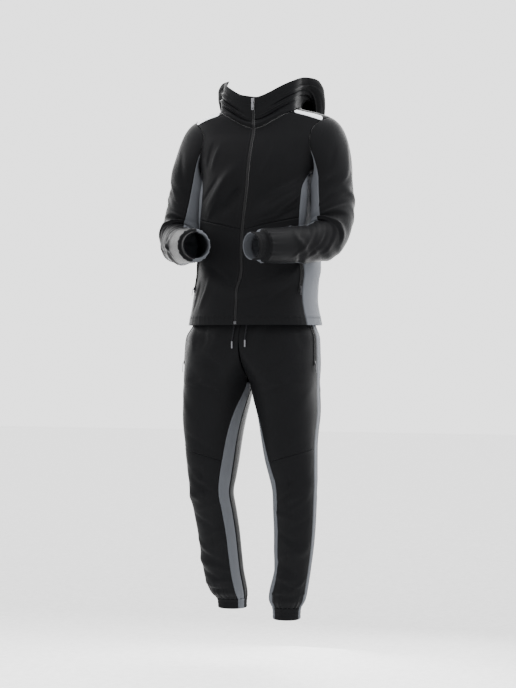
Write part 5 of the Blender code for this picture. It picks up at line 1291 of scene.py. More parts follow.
def leg_columns(height, fork):
    """Angles of one row's columns: front, outer stripe, back and inner stripe,
    each with even steps; stripe widths are lengths over the leg's radius."""
    inner = float(read(INNER_STRIPE, INNER_COLUMNS, "angle", height))
    radius = 0.060 + 0.045 * float(smooth_step((height - 0.50) / 0.30))
    half = math.degrees(float(read(INNER_STRIPE, INNER_COLUMNS, "half_width", height)) / radius)
    outer = math.degrees(OUTER_STRIPE_HALF / (radius + 0.045 * float(smooth_step((height - 0.82) / 0.12))))
    start = -(inner - half) * fork
    end = 180.0 + (180.0 - inner - half) * fork
    front_edge = OUTER_STRIPE_ANGLE - outer
    back_edge = OUTER_STRIPE_ANGLE + outer
    k = LEG_FINE
    runs = [np.linspace(start, front_edge, FRONT_SPANS * k + 1),
            np.linspace(front_edge, back_edge, STRIPE_SPANS * k + 1)[1:],
            np.linspace(back_edge, end, BACK_SPANS * k + 1)[1:],
            np.linspace(end, 360.0 + start, STRIPE_SPANS * k + 1)[1:-1]]
    return np.concatenate(runs)


def leg_heights(label):
    """Row heights from the ankle cuff to the waist, with each row's fork share:
    1 where the leg is a tube, falling to 0 at the top of the fork."""
    k = LEG_FINE
    top = ANKLE_CUFF_TOP[label]
    cuff = ANKLE_CUFF_END + (top - ANKLE_CUFF_END) * np.array((0.0, 0.5, 0.8))
    leg = np.concatenate((cuff, np.linspace(top, CROTCH_HEIGHT, LEG_ROWS + 1)))
    leg[CUFF_ROWS + KNEE_ROW] = KNEE_SEAM
    leg = finer(leg, k)
    forks = np.linspace(1.0, 0.0, FORK_ROWS * k + 1)[1:]
    fork = FORK_TOP - (FORK_TOP - CROTCH_HEIGHT) * np.sin(0.5 * math.pi * forks)
    hip = np.linspace(FORK_TOP, WAIST_SEAM, HIP_ROWS * k + 1)[1:]
    heights = np.concatenate((leg, fork, hip))
    shares = np.concatenate((np.ones(len(leg)), forks, np.zeros(len(hip))))
    return heights, shares


def soften_fork(grid):
    """Rows near the crotch mixed with the mean of the rows around them, most at
    the crotch itself, so that the leg runs into the hips without a step."""
    row = (CUFF_ROWS + LEG_ROWS) * LEG_FINE
    share = np.exp(-((np.arange(len(grid)) - row) / FORK_SOFT_ROWS) ** 2)[:, None, None]
    for _ in range(FORK_SOFT_TIMES):
        mean = grid.copy()
        mean[1:-1] = 0.25 * grid[:-2] + 0.5 * grid[1:-1] + 0.25 * grid[2:]
        grid = grid * (1.0 - share) + mean * share
    return grid


def leg_grid(label, side):
    """Whole surface of one jogger half with its outward normals: rows of ovals
    up the leg, which open at the crotch into half of the hips."""
    heights, shares = leg_heights(label)
    rows = []
    angles = []
    for height, share in zip(heights, shares):
        angle = leg_columns(height, share)
        lean = KNEE_TILT * math.exp(-((height - KNEE_SEAM) / 0.08) ** 2)
        row = leg_point(label, side, angle, height, share)
        row[:, 2] += lean * np.sin(np.radians(angle))
        rows.append(row)
        angles.append(angle)
    grid = soften_fork(np.stack(rows))
    angles = np.stack(angles)
    level = heights[:, None] + np.zeros(grid.shape[1])
    normal = leg_normals(grid, side)
    cuff_top = ANKLE_CUFF_TOP[label]
    above = level - cuff_top
    turn = np.radians(angles)
    fade = smooth_step(above / 0.012) * smooth_step((WAIST_SEAM - level) / 0.010)
    lift = crease_height(LEG_CREASES[label], angles, level, LEG_RADIUS) * fade
    ankle = gathers(turn, np.maximum(above, 0.0), LEG_GATHERS, 0.0020, 0.022)
    lift = lift + np.where(above >= 0.0, ankle, 0.0)
    waist = WAIST_SEAM - level
    wave = np.sin(WAIST_WAVES * turn + 0.7 * np.sin(9.0 * turn))
    lift = lift + WAIST_GATHER * wave * np.exp(-waist / 0.030)
    rings = np.clip((cuff_top - heights) / (cuff_top - ANKLE_CUFF_END), 0.0, 1.0)
    ribs = RIB_HEIGHT * np.cos(RIB_COUNT * turn) * (0.75 + 0.25 * np.cos(7.0 * turn))
    channel = -CHANNEL_DEPTH * np.exp(-((rings[:, None] * CHANNELS % 1.0) / 0.16) ** 2)
    lift = lift + (ribs + channel) * smooth_step(rings / 0.12)[:, None]
    grid = grid + normal * lift[..., None]
    return grid, leg_normals(grid, side)


def leg_normals(grid, side):
    """Outward normals; above the crotch the seam columns face straight ahead."""
    k = LEG_FINE
    normal = side * grid_normals(grid, True)
    seam_rows = slice((CUFF_ROWS + LEG_ROWS) * k + 1, None)
    end = (FRONT_SPANS + STRIPE_SPANS + BACK_SPANS) * k
    open_normal = side * grid_normals(grid[seam_rows, :end + 1], False)
    for column in (0, end):
        facing = open_normal[:, column]
        facing[:, 0] = side * np.minimum(side * facing[:, 0], 0.0)
        open_normal[:, column] = unit(facing)
    normal[seam_rows, :end + 1] = open_normal
    return normal


def make_joggers(materials, grids):
    """Fronts, backs, stripes and ankle cuffs of both legs, and the waistband."""
    k = LEG_FINE
    outer_start = FRONT_SPANS * k
    back_start = (FRONT_SPANS + STRIPE_SPANS) * k
    inner_start = (FRONT_SPANS + STRIPE_SPANS + BACK_SPANS) * k
    cuff = CUFF_ROWS * k
    knee = (CUFF_ROWS + KNEE_ROW) * k
    fork = (CUFF_ROWS + LEG_ROWS) * k
    pieces = {
        "front_lower": (slice(cuff, knee + 1), slice(0, outer_start + 1), "black"),
        "front_upper": (slice(knee, None), slice(0, outer_start + 1), "black"),
        "outer_stripe": (slice(cuff, None), slice(outer_start, back_start + 1), "grey"),
        "back": (slice(cuff, None), slice(back_start, inner_start + 1), "black"),
        "inner_stripe": (slice(cuff, fork + 1), slice(inner_start, None), "grey"),
    }
    for label, side in SIDES:
        grid, normal = leg_grid(label, side)
        grids["leg", label] = (grid, normal)
        ring = np.concatenate((grid, grid[:, :1]), axis=1)
        facing = np.concatenate((normal, normal[:, :1]), axis=1)
        flip = side < 0
        for piece, (rows, columns, slot) in pieces.items():
            cloth(f"joggers_{piece}_{label}_cloth", ring[rows, columns], facing[rows, columns],
                  materials[slot], [f"joggers_{piece}_{label}"], flip=flip)
        band, _, _ = cloth(f"ankle_cuff_{label}_cloth", grid[:cuff + 1], normal[:cuff + 1],
                           materials["black_rib"], [f"ankle_cuff_{label}"], wrap=True, flip=flip,
                           wall=CUFF_WALL, seams=(0, 1, 0, 0))
        total = grid.shape[1]
        for start, stop in ((outer_start, back_start), (inner_start, total)):
            if flip:
                start, stop = total - 1 - stop, total - 1 - start
            stripe_faces(band, total, start, stop, materials["grey_rib"])
    left = leg_columns(WAIST_SEAM, 0.0)[:inner_start + 1]
    around = np.concatenate((left, (360.0 - left)[::-1][1:-1]))
    rings = np.linspace(0.0, 1.0, WAIST_RINGS + 1)
    levels = WAIST_SEAM + (WAIST_TOP - WAIST_SEAM) * rings[:, None] + np.zeros(len(around))
    band = hip_point(around[None, :] + np.zeros((len(rings), 1)), levels)
    normal = grid_normals(band, True)
    turn = np.radians(around)[None, :]
    ribs = 0.0009 * np.sin(WAIST_WAVES * 2 * turn) * (0.8 + 0.2 * np.cos(5 * turn))
    channel = -0.0009 * np.exp(-((rings[:, None] * 4 % 1.0) / 0.14) ** 2)
    band = band + ((ribs + channel) * smooth_step(rings / 0.1)[:, None])[..., None] * normal
    cloth("waistband_cloth", band, grid_normals(band, True), materials["black_rib"], ["waistband"],
          wrap=True, wall=0.0028, seams=(1, 0, 0, 0))


def resample(points, extra, step):
    """Read a path and its vectors at even steps along its length."""
    run = np.concatenate(([0.0], np.cumsum(np.linalg.norm(np.diff(points, axis=0), axis=1))))
    count = max(3, int(round(run[-1] / step)) + 1)
    even = np.linspace(0.0, run[-1], count)
    out = [np.stack([np.interp(even, run, field[:, k]) for k in range(3)], axis=1)
           for field in (points, *extra)]
    return out[0], [unit(field) for field in out[1:]]


def stitches(name, lines, material, pitch=STITCH_LENGTH + STITCH_GAP):
    """Rows of small thread loops: each stitch is a bent six-sided bar whose
    height over the cloth is a half sine of its length, copied along the lines."""
    bars = []
    bend = np.linspace(0.0, 1.0, 5)
    turn = np.linspace(0.0, 2.0 * math.pi, 5, endpoint=False)
    for points, normal in lines:
        path, (facing,) = resample(points, (normal,), pitch)
        along = unit(np.gradient(path, axis=0))
        side = unit(np.cross(along, facing))
        start = path - along * 0.5 * STITCH_LENGTH
        height = 0.0002 + 0.00030 * np.sin(math.pi * bend) - 0.0002 * (bend * 2 - 1) ** 8
        centre = (start[:, None] + along[:, None] * (bend * STITCH_LENGTH)[None, :, None]
                  + facing[:, None] * height[None, :, None])
        radius = STITCH_RADIUS * (0.45 + 0.55 * np.sin(math.pi * np.clip(bend, 0.06, 0.94)))
        ring = (np.cos(turn)[None, None, :, None] * side[:, None, None]
                + np.sin(turn)[None, None, :, None] * facing[:, None, None]) * radius[None, :, None, None]
        bars.append(centre[:, :, None] + ring)
    bars = np.concatenate(bars)
    count, rows, around = bars.shape[:3]
    one = grid_faces(rows, around, wrap=True)[:, ::-1]
    first = (np.arange(count) * rows * around)[:, None, None]
    index = one[None] + first
    cap = np.arange(around)
    ends = np.stack((cap, (rows - 1) * around + cap[::-1]))[None] + first
    mesh = bpy.data.meshes.new(name)
    faces = index.reshape(-1, 4).tolist() + ends.reshape(-1, around).tolist()
    mesh.from_pydata(down(bars.reshape(-1, 3)).tolist(), [], faces)
    mesh.update()
    mesh.shade_smooth()
    return link(name, mesh, material)


def row_line(grid, normal, distance, from_end=False, columns=slice(None)):
    """Line across a grid at a distance from its first or last row."""
    if from_end:
        grid, normal = grid[::-1], normal[::-1]
    grid, normal = grid[:, columns], normal[:, columns]
    run, _ = edge_distance(grid, 0)
    row = np.clip((run < distance).sum(axis=0) - 1, 0, len(grid) - 2)
    pick = np.arange(grid.shape[1])
    low, high = run[row, pick], run[row + 1, pick]
    share = ((distance - low) / np.maximum(high - low, 1e-6))[:, None]
    return (grid[row, pick] * (1 - share) + grid[row + 1, pick] * share,
            unit(normal[row, pick] * (1 - share) + normal[row + 1, pick] * share))


def column_line(grid, normal, distance, from_end=False, rows=slice(None)):
    """Line up a grid at a distance from its first or last column."""
    return row_line(np.swapaxes(grid[rows], 0, 1), np.swapaxes(normal[rows], 0, 1), distance, from_end)


def make_front_zip(materials, patches, grids):
    """Main zip: tapes with a waved coil edge between the fronts, up into the stand."""
    rows = patches["zip_rows"]
    level = rows[:, 1]
    edge = np.degrees(ZIP_HALF / read(BODY_SECTIONS, BODY_COLUMNS, "front", level))
    angle = np.stack((-edge, np.zeros(len(edge)), edge), axis=1)
    height = np.repeat(level[:, None], 3, axis=1)
    body = body_point(angle, height)
    stand = hood_grid(np.stack((angle[-1], height[-1]), axis=1), finer(HOOD_ROWS, HOOD_FINE)[1:])
    points = np.concatenate((body, stand))
    middle = points[:, 1]
    across = unit(points[:, 2] - points[:, 0])
    up = unit(np.gradient(middle, axis=0))
    out = unit(np.cross(across, up))
    path, (across, out) = resample(middle, (across, out), ZIP_TEETH_PITCH / 4.0)
    run = np.arange(len(path)) * ZIP_TEETH_PITCH / 4.0
    wave = 0.5 + 0.5 * np.cos(2.0 * math.pi * run / ZIP_TEETH_PITCH)
    half = ZIP_HALF - 0.0001
    side = np.array((-1.0, -0.70, -0.50, -0.34, -0.14, -0.04, 0.04, 0.14, 0.34, 0.50, 0.70, 1.0)) * half
    base = np.array((0.0, 0.1, 0.3, 1.0, 0.9, -0.6, -0.6, 0.9, 1.0, 0.3, 0.1, 0.0)) * ZIP_RISE
    tooth = np.array((0.0, 0.0, 0.1, 0.3, 0.4, 0.0, 0.0, 0.4, 0.3, 0.1, 0.0, 0.0)) * ZIP_RISE
    rise = base[None, :] - tooth[None, :] * wave[:, None] - 0.0002
    mesh = band_mesh("jacket_zip_tape", path, across, out, side, rise, 0.0014)
    item = link("jacket_zip_tape", mesh, materials["zip"])
    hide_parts("jacket_zip")
    grids["zip"] = (path, across, out)


def band_mesh(name, path, across, out, side, rise, thick):
    """Closed band along a path: its top stands at rise over each side place, and
    its flat back lies thick below the path."""
    low = np.full_like(rise, -thick)
    top = path[:, None] + across[:, None] * side[None, :, None] + out[:, None] * rise[..., None]
    back = path[:, None] + across[:, None] * side[None, :, None] + out[:, None] * low[..., None]
    ring = np.concatenate((top, back[:, ::-1]), axis=1)
    rows, columns = ring.shape[:2]
    faces = grid_faces(rows, columns, wrap=True).tolist()
    faces.append(np.arange(columns)[::-1].tolist())
    faces.append(((rows - 1) * columns + np.arange(columns)).tolist())
    mesh = bpy.data.meshes.new(name)
    mesh.from_pydata(down(ring.reshape(-1, 3)).tolist(), [], faces)
    mesh.update()
    run = np.concatenate(([0.0], np.cumsum(np.linalg.norm(np.diff(path, axis=0), axis=1))))
    u = np.concatenate((side, side[::-1]))
    set_uv(mesh, np.stack((np.broadcast_to(u, (rows, columns)),
                           np.broadcast_to(run[:, None], (rows, columns))), axis=-1).reshape(-1, 2))
    mesh.shade_smooth()
    mesh.set_sharp_from_angle(angle=math.radians(40.0))
    return mesh


def laid_line(points, normal, rows, column):
    """Path on a grid at fractional rows, half way between two fractional columns."""
    rows = np.asarray(rows, dtype=float)
    low = np.floor(rows).astype(int)
    low = np.clip(low, 0, len(points) - 2)
    v = (rows - low)[:, None]
    left = np.clip(int(math.floor(column)), 0, points.shape[1] - 2)
    u = column - left

    def blend(field):
        """Mix of the four corners of each cell."""
        return ((field[low, left] * (1 - u) + field[low, left + 1] * u) * (1 - v)
                + (field[low + 1, left] * (1 - u) + field[low + 1, left + 1] * u) * v)

    return blend(points), unit(blend(normal))


def pocket_zip(name, points, normal, rows, columns, fine, material, side):
    """Pocket zip between a panel's columns: a coil zip with a piped lip each side."""
    reach = np.linspace(rows[0] * fine, rows[-1] * fine, 40)
    middle, out = laid_line(points, normal, reach, 0.5 * (columns[0] + columns[1]) * fine)
    first, _ = laid_line(points, normal, reach, columns[0] * fine)
    last, _ = laid_line(points, normal, reach, columns[1] * fine)
    across = unit(last - first) * side
    half = 0.5 * float(np.linalg.norm(last - first, axis=1).mean())
    path, (across, out) = resample(middle, (across, out), ZIP_TEETH_PITCH / 4.0)
    across = unit(across - out * np.sum(across * out, axis=1, keepdims=True))
    run = np.arange(len(path)) * ZIP_TEETH_PITCH / 4.0
    wave = 0.5 + 0.5 * np.cos(2.0 * math.pi * run / ZIP_TEETH_PITCH)
    place = np.array((-1.0, -0.92, -0.80, -0.66, -0.56, -0.50, -0.34, -0.22, -0.08, -0.03))
    rise = np.array((0.0, 0.55, 0.75, 0.65, 0.30, 0.05, 0.15, 0.55, 0.50, 0.0)) * 0.0014
    tooth = np.array((0.0, 0.0, 0.0, 0.0, 0.0, 0.0, 0.1, 0.3, 0.3, 0.0)) * 0.0008
    place = np.concatenate((place, -place[::-1])) * half
    rise = np.concatenate((rise, rise[::-1]))[None, :] + 0.0012
    tooth = np.concatenate((tooth, tooth[::-1]))[None, :]
    ends = np.minimum(run, run[::-1])
    close = smooth_step(ends / 0.003)[:, None]
    height = (rise - tooth * wave[:, None]) * (0.5 + 0.5 * close)
    mesh = band_mesh(f"{name}_coil", path, across, out, place, height, 0.0002)
    item = link(f"{name}_coil", mesh, material)
    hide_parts(name)
    return path, across, out


def make_pocket_zips(materials, grids):
    """Slanted hand pockets of the jacket and side pockets of the joggers."""
    for label, side in SIDES:
        points, normal = grids["front_lower", label]
        pocket_zip(f"jacket_pocket_zip_{label}", points, normal, JACKET_POCKET_ROWS, JACKET_POCKET_COLUMNS,
                   BODY_FINE, materials["zip"], side)
        points, normal = grids["leg", label]
        pocket_zip(f"joggers_pocket_zip_{label}", points, normal, JOGGERS_POCKET_ROWS, JOGGERS_POCKET_COLUMNS,
                   LEG_FINE, materials["zip"], side)


def make_strips(materials, grids):
    """Silver strips with round ends along the front yoke seams."""
    for label, _ in SIDES:
        points, normal = grids["yoke", label]
        points, normal = np.swapaxes(points, 0, 1), np.swapaxes(normal, 0, 1)
        reach = np.linspace(STRIP_COLUMNS[0] * BODY_FINE, STRIP_COLUMNS[1] * BODY_FINE, 60)
        middle, out = laid_line(points, normal, reach, 0.5 * sum(STRIP_ROWS) * BODY_FINE)
        first, _ = laid_line(points, normal, reach, STRIP_ROWS[0] * BODY_FINE)
        last, _ = laid_line(points, normal, reach, STRIP_ROWS[1] * BODY_FINE)
        half = 0.5 * float(np.linalg.norm(last - first, axis=1).mean())
        path, (across, out) = resample(middle, (unit(last - first), out), 0.0006)
        along = unit(np.gradient(path, axis=0))
        turned = np.cross(out, along)
        across = unit(turned) * np.sign(np.sum(turned * across, axis=1, keepdims=True))
        run = np.arange(len(path)) * np.linalg.norm(path[1] - path[0])
        ends = np.minimum(run, run[::-1])
        width = half * np.sqrt(np.clip(1.0 - np.clip(1.0 - ends / half, 0.0, 1.0) ** 2, 0.02, 1.0))
        place = np.array((-1.0, -0.96, -0.85, -0.5, 0.0, 0.5, 0.85, 0.96, 1.0))
        rise = np.array((0.0, 0.55, 0.8, 0.95, 1.0, 0.95, 0.8, 0.55, 0.0)) * 0.0006
        hand = float(np.sign(np.mean(np.sum(np.cross(across, along) * out, axis=1))))
        top = (path[:, None] + across[:, None] * (hand * place[None, :] * width[:, None])[..., None]
               + out[:, None] * (0.0009 + rise)[None, :, None])
        back = (path[:, None] + across[:, None] * (hand * place[None, :] * width[:, None])[..., None]
                + out[:, None] * 0.0003)
        ring = np.concatenate((top, back[:, ::-1]), axis=1)
        rows, columns = ring.shape[:2]
        faces = grid_faces(rows, columns, wrap=True).tolist()
        faces.append(np.arange(columns)[::-1].tolist())
        faces.append(((rows - 1) * columns + np.arange(columns)).tolist())
        mesh = bpy.data.meshes.new(f"shoulder_strip_{label}_tape")
        mesh.from_pydata(down(ring.reshape(-1, 3)).tolist(), [], faces)
        mesh.update()
        u = np.concatenate((place, place[::-1])) * half
        set_uv(mesh, np.stack((np.broadcast_to(u, (rows, columns)),
                               np.broadcast_to(run[:, None], (rows, columns))), axis=-1).reshape(-1, 2))
        mesh.shade_smooth()
        mesh.set_sharp_from_angle(angle=math.radians(50.0))
        item = link(f"shoulder_strip_{label}_tape", mesh, materials["silver"])
        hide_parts(f"shoulder_strip_{label}")


def make_stitching(materials, grids):
    """Twin lines at the hem and chest seams, single lines by the zip, the yokes, the hood edge and the
    trouser seams."""
    lines = []
    for label, _ in SIDES:
        low, low_n = grids["front_lower", label]
        high, high_n = grids["front_upper", label]
        for place in (0.0225, 0.0195):
            lines.append(row_line(low, low_n, place))
            lines.append(row_line(*grids["side", label], place))
        for place in (0.0035, 0.0065):
            lines.append(row_line(high, high_n, place))
        lines.append(column_line(low, low_n, 0.0055))
        lines.append(column_line(high, high_n, 0.0055))
        lines.append(row_line(*grids["yoke", label], 0.004))
        leg, leg_n = grids["leg", label]
        knee = (CUFF_ROWS + KNEE_ROW) * LEG_FINE
        front = slice(0, FRONT_SPANS * LEG_FINE + 1)
        for place in (0.0035, 0.0062):
            lines.append(row_line(leg[knee:], leg_n[knee:], place, columns=front))
        waist = slice(0, (FRONT_SPANS + STRIPE_SPANS + BACK_SPANS) * LEG_FINE + 1)
        lines.append(row_line(leg, leg_n, 0.004, from_end=True, columns=waist))
    for place in (0.0225, 0.0195):
        lines.append(row_line(*grids["back", "both"], place))
    lines.append(row_line(*grids["hood"], 0.0200, from_end=True))
    lines.append(row_line(*grids["hood"], 0.0050))
    stitches("stitching", lines, materials["thread"])


def make_drawstrings(materials):
    """Two braided drawstring ends; their metal tips are the model's own parts."""
    for label, route in CORD_ROUTES.items():
        name = f"drawstring_{label}"
        path = spline(route, np.linspace(0.0, 1.0, 6 * CORD_POINTS))
        mesh = tube_mesh(f"{name}_braid", down(path), 0.5 * CORD_DIAMETER, 16)
        item = link(f"{name}_braid", mesh, materials["cord"])
        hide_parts(name)


def add_group(name, inputs, outputs):
    """Empty shader node group with the named inputs and outputs."""
    group = bpy.data.node_groups.new(name, "ShaderNodeTree")
    for label, kind, value in inputs:
        socket = group.interface.new_socket(label, in_out="INPUT", socket_type=kind)
        if value is not None:
            socket.default_value = value
    for label, kind in outputs:
        group.interface.new_socket(label, in_out="OUTPUT", socket_type=kind)
    start = group.nodes.new("NodeGroupInput")
    end = group.nodes.new("NodeGroupOutput")
    return group, start, end


def math_node(tree, operation, first, second=None):
    """Math node with two values or links."""
    node = tree.nodes.new("ShaderNodeMath")
    node.operation = operation
    for socket, value in zip(node.inputs, (first, second)):
        if value is None:
            continue
        if isinstance(value, (int, float)):
            socket.default_value = value
        else:
            tree.links.new(value, socket)
    return node.outputs[0]


def knit_group():
    """Smooth knit: upright wales of small V stitches read from the piece's own lengths, with soft unevenness;
    gives a bump height and a tone around one, which holds the random unevenness and painted shade that
    darkens the stitch hollows."""
    inputs = (("Wale", "NodeSocketFloat", 0.0009), ("Course", "NodeSocketFloat", 0.0008),
              ("Unevenness", "NodeSocketFloat", 0.10))
    outputs = (("Height", "NodeSocketFloat"), ("Tone with painted stitch shade", "NodeSocketFloat"))
    group, start, end = add_group("knit", inputs, outputs)
    place = group.nodes.new("ShaderNodeUVMap")
    place.uv_map = "cloth"
    split = group.nodes.new("ShaderNodeSeparateXYZ")
    group.links.new(place.outputs[0], split.inputs[0])
    u = math_node(group, "DIVIDE", split.outputs[0], start.outputs["Wale"])
    v = math_node(group, "DIVIDE", split.outputs[1], start.outputs["Course"])
    side = math_node(group, "ABSOLUTE", math_node(group, "SUBTRACT", math_node(group, "FRACT", u), 0.5))
    lean = math_node(group, "ADD", v, math_node(group, "MULTIPLY", side, 1.4))
    rib = math_node(group, "SINE", math_node(group, "MULTIPLY", side, 2.0 * math.pi))
    loop = math_node(group, "SINE", math_node(group, "MULTIPLY", lean, 2.0 * math.pi))
    share = math_node(group, "ADD", math_node(group, "MULTIPLY", loop, 0.35), 0.65)
    stitch = math_node(group, "MULTIPLY", rib, share)
    group.links.new(stitch, end.inputs["Height"])
    cloud = group.nodes.new("ShaderNodeTexNoise")
    cloud.inputs["Scale"].default_value = 26.0
    cloud.inputs["Detail"].default_value = 4.0
    spot = group.nodes.new("ShaderNodeTexCoord")
    group.links.new(spot.outputs["Object"], cloud.inputs["Vector"])
    drift = math_node(group, "SUBTRACT", cloud.outputs[0], 0.5)
    drift = math_node(group, "MULTIPLY", drift, start.outputs["Unevenness"])
    # Painted shade: the tone is darker where the stitch height is low, in the stitch hollows; the drift is
    # the cloth's own random unevenness.
    depth = math_node(group, "MULTIPLY", stitch, 0.12)
    tone = math_node(group, "ADD", math_node(group, "ADD", drift, depth), 0.92)
    group.links.new(tone, end.inputs["Tone with painted stitch shade"])
    return group


def wear_group():
    """Fine fuzz and grain from two noises in object space: gives a roughness
    shift and a bump height."""
    inputs = (("Scale", "NodeSocketFloat", 900.0), ("Strength", "NodeSocketFloat", 0.10))
    outputs = (("Roughness shift", "NodeSocketFloat"), ("Height", "NodeSocketFloat"))
    group, start, end = add_group("grain", inputs, outputs)
    spot = group.nodes.new("ShaderNodeTexCoord")
    fine = group.nodes.new("ShaderNodeTexNoise")
    group.links.new(spot.outputs["Object"], fine.inputs["Vector"])
    group.links.new(start.outputs["Scale"], fine.inputs["Scale"])
    wide = group.nodes.new("ShaderNodeTexNoise")
    wide.inputs["Scale"].default_value = 40.0
    group.links.new(spot.outputs["Object"], wide.inputs["Vector"])
    both = math_node(group, "ADD", fine.outputs[0], wide.outputs[0])
    shift = math_node(group, "MULTIPLY", math_node(group, "SUBTRACT", both, 1.0), start.outputs["Strength"])
    group.links.new(shift, end.inputs["Roughness shift"])
    group.links.new(fine.outputs[0], end.inputs["Height"])
    return group


def place_group(tree, group, **values):
    """Node that holds a group, with its named inputs set."""
    node = tree.nodes.new("ShaderNodeGroup")
    node.node_tree = group
    for label, value in values.items():
        node.inputs[label.replace("_", " ")].default_value = value
    return node


def new_finish(name, colour, roughness, metallic=0.0):
    """Material with a Principled shader, and its node tree."""
    material = bpy.data.materials.new(name)
    material.use_nodes = True
    material.diffuse_color = (*colour, 1.0)
    shader = material.node_tree.nodes["Principled BSDF"]
    shader.inputs["Base Color"].default_value = (*colour, 1.0)
    shader.inputs["Roughness"].default_value = roughness
    shader.inputs["Metallic"].default_value = metallic
    shader.inputs["Specular IOR Level"].default_value = PLAIN_GLOSS
    return material, material.node_tree, shader


def tinted(tree, colour, tone):
    """Colour times a tone value, for Base Color."""
    mix = tree.nodes.new("ShaderNodeMix")
    mix.data_type = "RGBA"
    mix.blend_type = "MULTIPLY"
    mix.inputs[0].default_value = 1.0
    mix.inputs[6].default_value = (*colour, 1.0)
    joined = tree.nodes.new("ShaderNodeCombineColor")
    for socket in joined.inputs:
        tree.links.new(tone, socket)
    tree.links.new(joined.outputs[0], mix.inputs[7])
    return mix.outputs[2]


def knit_material(name, colour, knit, grain, roughness=0.48, sheen=0.0, wale=0.0009, course=0.0008,
                  unevenness=0.10, bump=0.35, depth=0.00012, specular=0.025):
    """Knit cloth with satin sheen."""
    material, tree, shader = new_finish(name, colour, roughness)
    shader.inputs["Sheen Weight"].default_value = sheen
    shader.inputs["Sheen Roughness"].default_value = 0.45
    shader.inputs["Sheen Tint"].default_value = (0.75, 0.80, 0.90, 1.0)
    shader.inputs["Specular IOR Level"].default_value = specular
    cloth_node = place_group(tree, knit, Wale=wale, Course=course, Unevenness=unevenness)
    fuzz = place_group(tree, grain, Scale=1400.0, Strength=0.10)
    # The base colour carries the knit tone: random unevenness plus painted shade in the stitch hollows.
    tree.links.new(tinted(tree, colour, cloth_node.outputs["Tone with painted stitch shade"]), shader.inputs["Base Color"])
    rough = math_node(tree, "ADD", fuzz.outputs["Roughness shift"], roughness)
    tree.links.new(rough, shader.inputs["Roughness"])
    fine = math_node(tree, "MULTIPLY", fuzz.outputs["Height"], 0.25)
    height = math_node(tree, "ADD", cloth_node.outputs["Height"], fine)
    relief = tree.nodes.new("ShaderNodeBump")
    relief.inputs["Strength"].default_value = bump
    relief.inputs["Distance"].default_value = depth
    tree.links.new(height, relief.inputs["Height"])
    tree.links.new(relief.outputs[0], shader.inputs["Normal"])
    return material


def plain_material(name, colour, roughness, grain, metallic=0.0, scale=700.0, strength=0.12, bump=0.15):
    """Metal or plastic with fine grain in its gloss and surface."""
    material, tree, shader = new_finish(name, colour, roughness, metallic)
    fuzz = place_group(tree, grain, Scale=scale, Strength=strength)
    rough = math_node(tree, "ADD", fuzz.outputs["Roughness shift"], roughness)
    tree.links.new(rough, shader.inputs["Roughness"])
    tone = math_node(tree, "ADD", math_node(tree, "MULTIPLY", fuzz.outputs["Height"], 0.25), 0.85)
    tree.links.new(tinted(tree, colour, tone), shader.inputs["Base Color"])
    relief = tree.nodes.new("ShaderNodeBump")
    relief.inputs["Strength"].default_value = bump
    relief.inputs["Distance"].default_value = 0.0001
    tree.links.new(fuzz.outputs["Height"], relief.inputs["Height"])
    tree.links.new(relief.outputs[0], shader.inputs["Normal"])
    return material


def make_materials():
    """All finishes of the suit."""
    knit = knit_group()
    grain = wear_group()
    return {
        "black": knit_material("black knit", (0.0052, 0.0053, 0.0058), knit, grain),
        "grey": knit_material("grey knit", (0.066, 0.070, 0.078), knit, grain, roughness=0.62, sheen=0.0),
        "black_rib": knit_material("black rib", (0.0050, 0.0051, 0.0056), knit, grain, roughness=0.66,
                                   sheen=0.0, wale=0.0012, depth=0.0002),
        "grey_rib": knit_material("grey rib", (0.064, 0.068, 0.076), knit, grain, roughness=0.66, sheen=0.0,
                                  wale=0.0012, depth=0.0002),
        "silver": knit_material("silver tape", (0.58, 0.59, 0.61), knit, grain, roughness=0.38, sheen=0.0,
                                wale=0.0006, course=0.0006, depth=0.00004, unevenness=0.05),
        "cord": knit_material("drawstring braid", (0.010, 0.010, 0.011), knit, grain, roughness=0.7,
                              sheen=0.05, wale=0.0014, course=0.0016, depth=0.0003, bump=0.6),
        "thread": plain_material("sewing thread", (0.0060, 0.0060, 0.0066), 0.8, grain),
        "zip": plain_material("zip coil", (0.0075, 0.0075, 0.0080), 0.50, grain),
        "metal": plain_material("satin metal", (0.14, 0.14, 0.15), 0.34, grain, metallic=1.0),
        "dark_metal": plain_material("dark metal", (0.030, 0.030, 0.033), 0.40, grain, metallic=1.0),
        "stop": plain_material("satin grey stop", (0.060, 0.060, 0.064), 0.45, grain, metallic=0.6),
        "floor": plain_material("pale floor", (0.93, 0.93, 0.93), 0.85, grain, scale=60.0, strength=0.05,
                                bump=0.02),
    }


def dress_hardware(materials):
    """Give the sliders, pulls, stop and cord tips their metal."""
    for name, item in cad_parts.items():
        finish = None
        if name.endswith("_slider") or name.endswith("_pull") or name.startswith("drawstring_tip"):
            finish = materials["dark_metal" if "pocket" in name else "metal"]
        if name == "jacket_zip_stop":
            finish = materials["stop"]
        if finish is not None:
            node = bpy.data.objects[name] if isinstance(item, str) else item
            for slot in node.material_slots:
                slot.material = finish


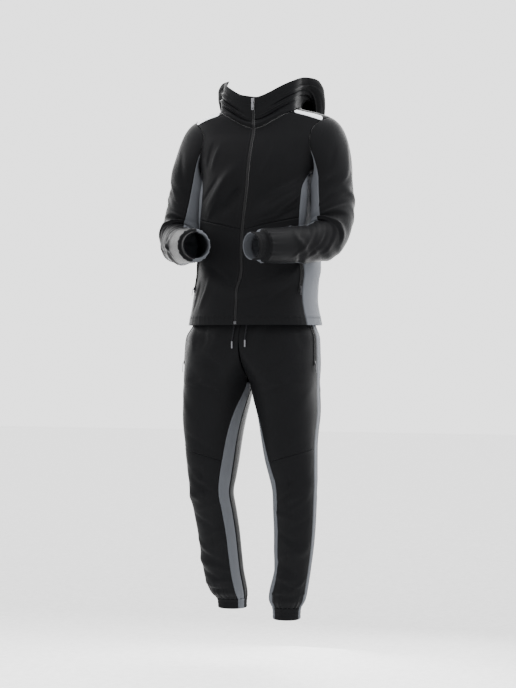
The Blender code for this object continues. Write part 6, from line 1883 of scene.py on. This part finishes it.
def make_floor(material):
    """Plain level floor under the suit."""
    side = np.linspace(-FLOOR_HALF, FLOOR_HALF, 3)
    grid = np.stack((np.broadcast_to(side[None, :], (3, 3)), np.broadcast_to(side[:, None], (3, 3)),
                     np.zeros((3, 3))), axis=-1)
    mesh = bpy.data.meshes.new("floor")
    mesh.from_pydata(down(grid.reshape(-1, 3)).tolist(), [], grid_faces(3, 3).tolist())
    mesh.update()
    mesh.materials.append(material)
    floor = bpy.data.objects.new("floor", mesh)
    bpy.context.scene.collection.objects.link(floor)


def add_light(name, place, target, size, power, colour=(1.0, 1.0, 1.0)):
    """Soft square light that faces a target point."""
    data = bpy.data.lights.new(name, "AREA")
    data.shape = "SQUARE"
    data.size = size
    data.energy = power
    data.color = colour
    lamp = bpy.data.objects.new(name, data)
    forward = unit(np.array(target, dtype=float) - np.array(place, dtype=float))
    side = unit(np.cross(forward, (0.0, 0.0, 1.0)))
    up = np.cross(side, forward)
    lamp.matrix_world = ((side[0], up[0], -forward[0], place[0]), (side[1], up[1], -forward[1], place[1]),
                         (side[2], up[2], -forward[2], place[2]), (0.0, 0.0, 0.0, 1.0))
    bpy.context.scene.collection.objects.link(lamp)


def make_lights():
    """Soft studio light: key and fill in front, one light high at each side."""
    add_light("key", (-1.6, -3.2, 1.4), (0.0, 0.0, -0.5), 2.2, 60.0)
    add_light("fill", (2.8, -2.6, 0.4), (0.0, 0.0, -0.6), 2.4, 32.0)
    add_light("left rim", (2.4, 1.6, 1.2), (0.0, 0.0, -0.4), 1.6, 3.0)
    add_light("right rim", (-2.4, 1.4, 1.2), (0.0, 0.0, -0.4), 1.6, 3.0)
    world = bpy.data.worlds.new("studio")
    bpy.context.scene.world = world
    world.use_nodes = True
    back = world.node_tree.nodes["Background"]
    back.inputs["Color"].default_value = (1.0, 1.0, 1.0, 1.0)
    back.inputs["Strength"].default_value = 2.4


def build():
    """Dress the whole suit."""
    materials = make_materials()
    make_drawstrings(materials)
    grids = {}
    patches = jacket_patches()
    make_jacket(materials, patches, grids)
    make_hood(materials, patches, grids)
    make_front_zip(materials, patches, grids)
    make_sleeves(materials, grids)
    make_joggers(materials, grids)
    make_pocket_zips(materials, grids)
    make_strips(materials, grids)
    make_stitching(materials, grids)
    dress_hardware(materials)
    make_floor(materials["floor"])
    make_lights()


build()
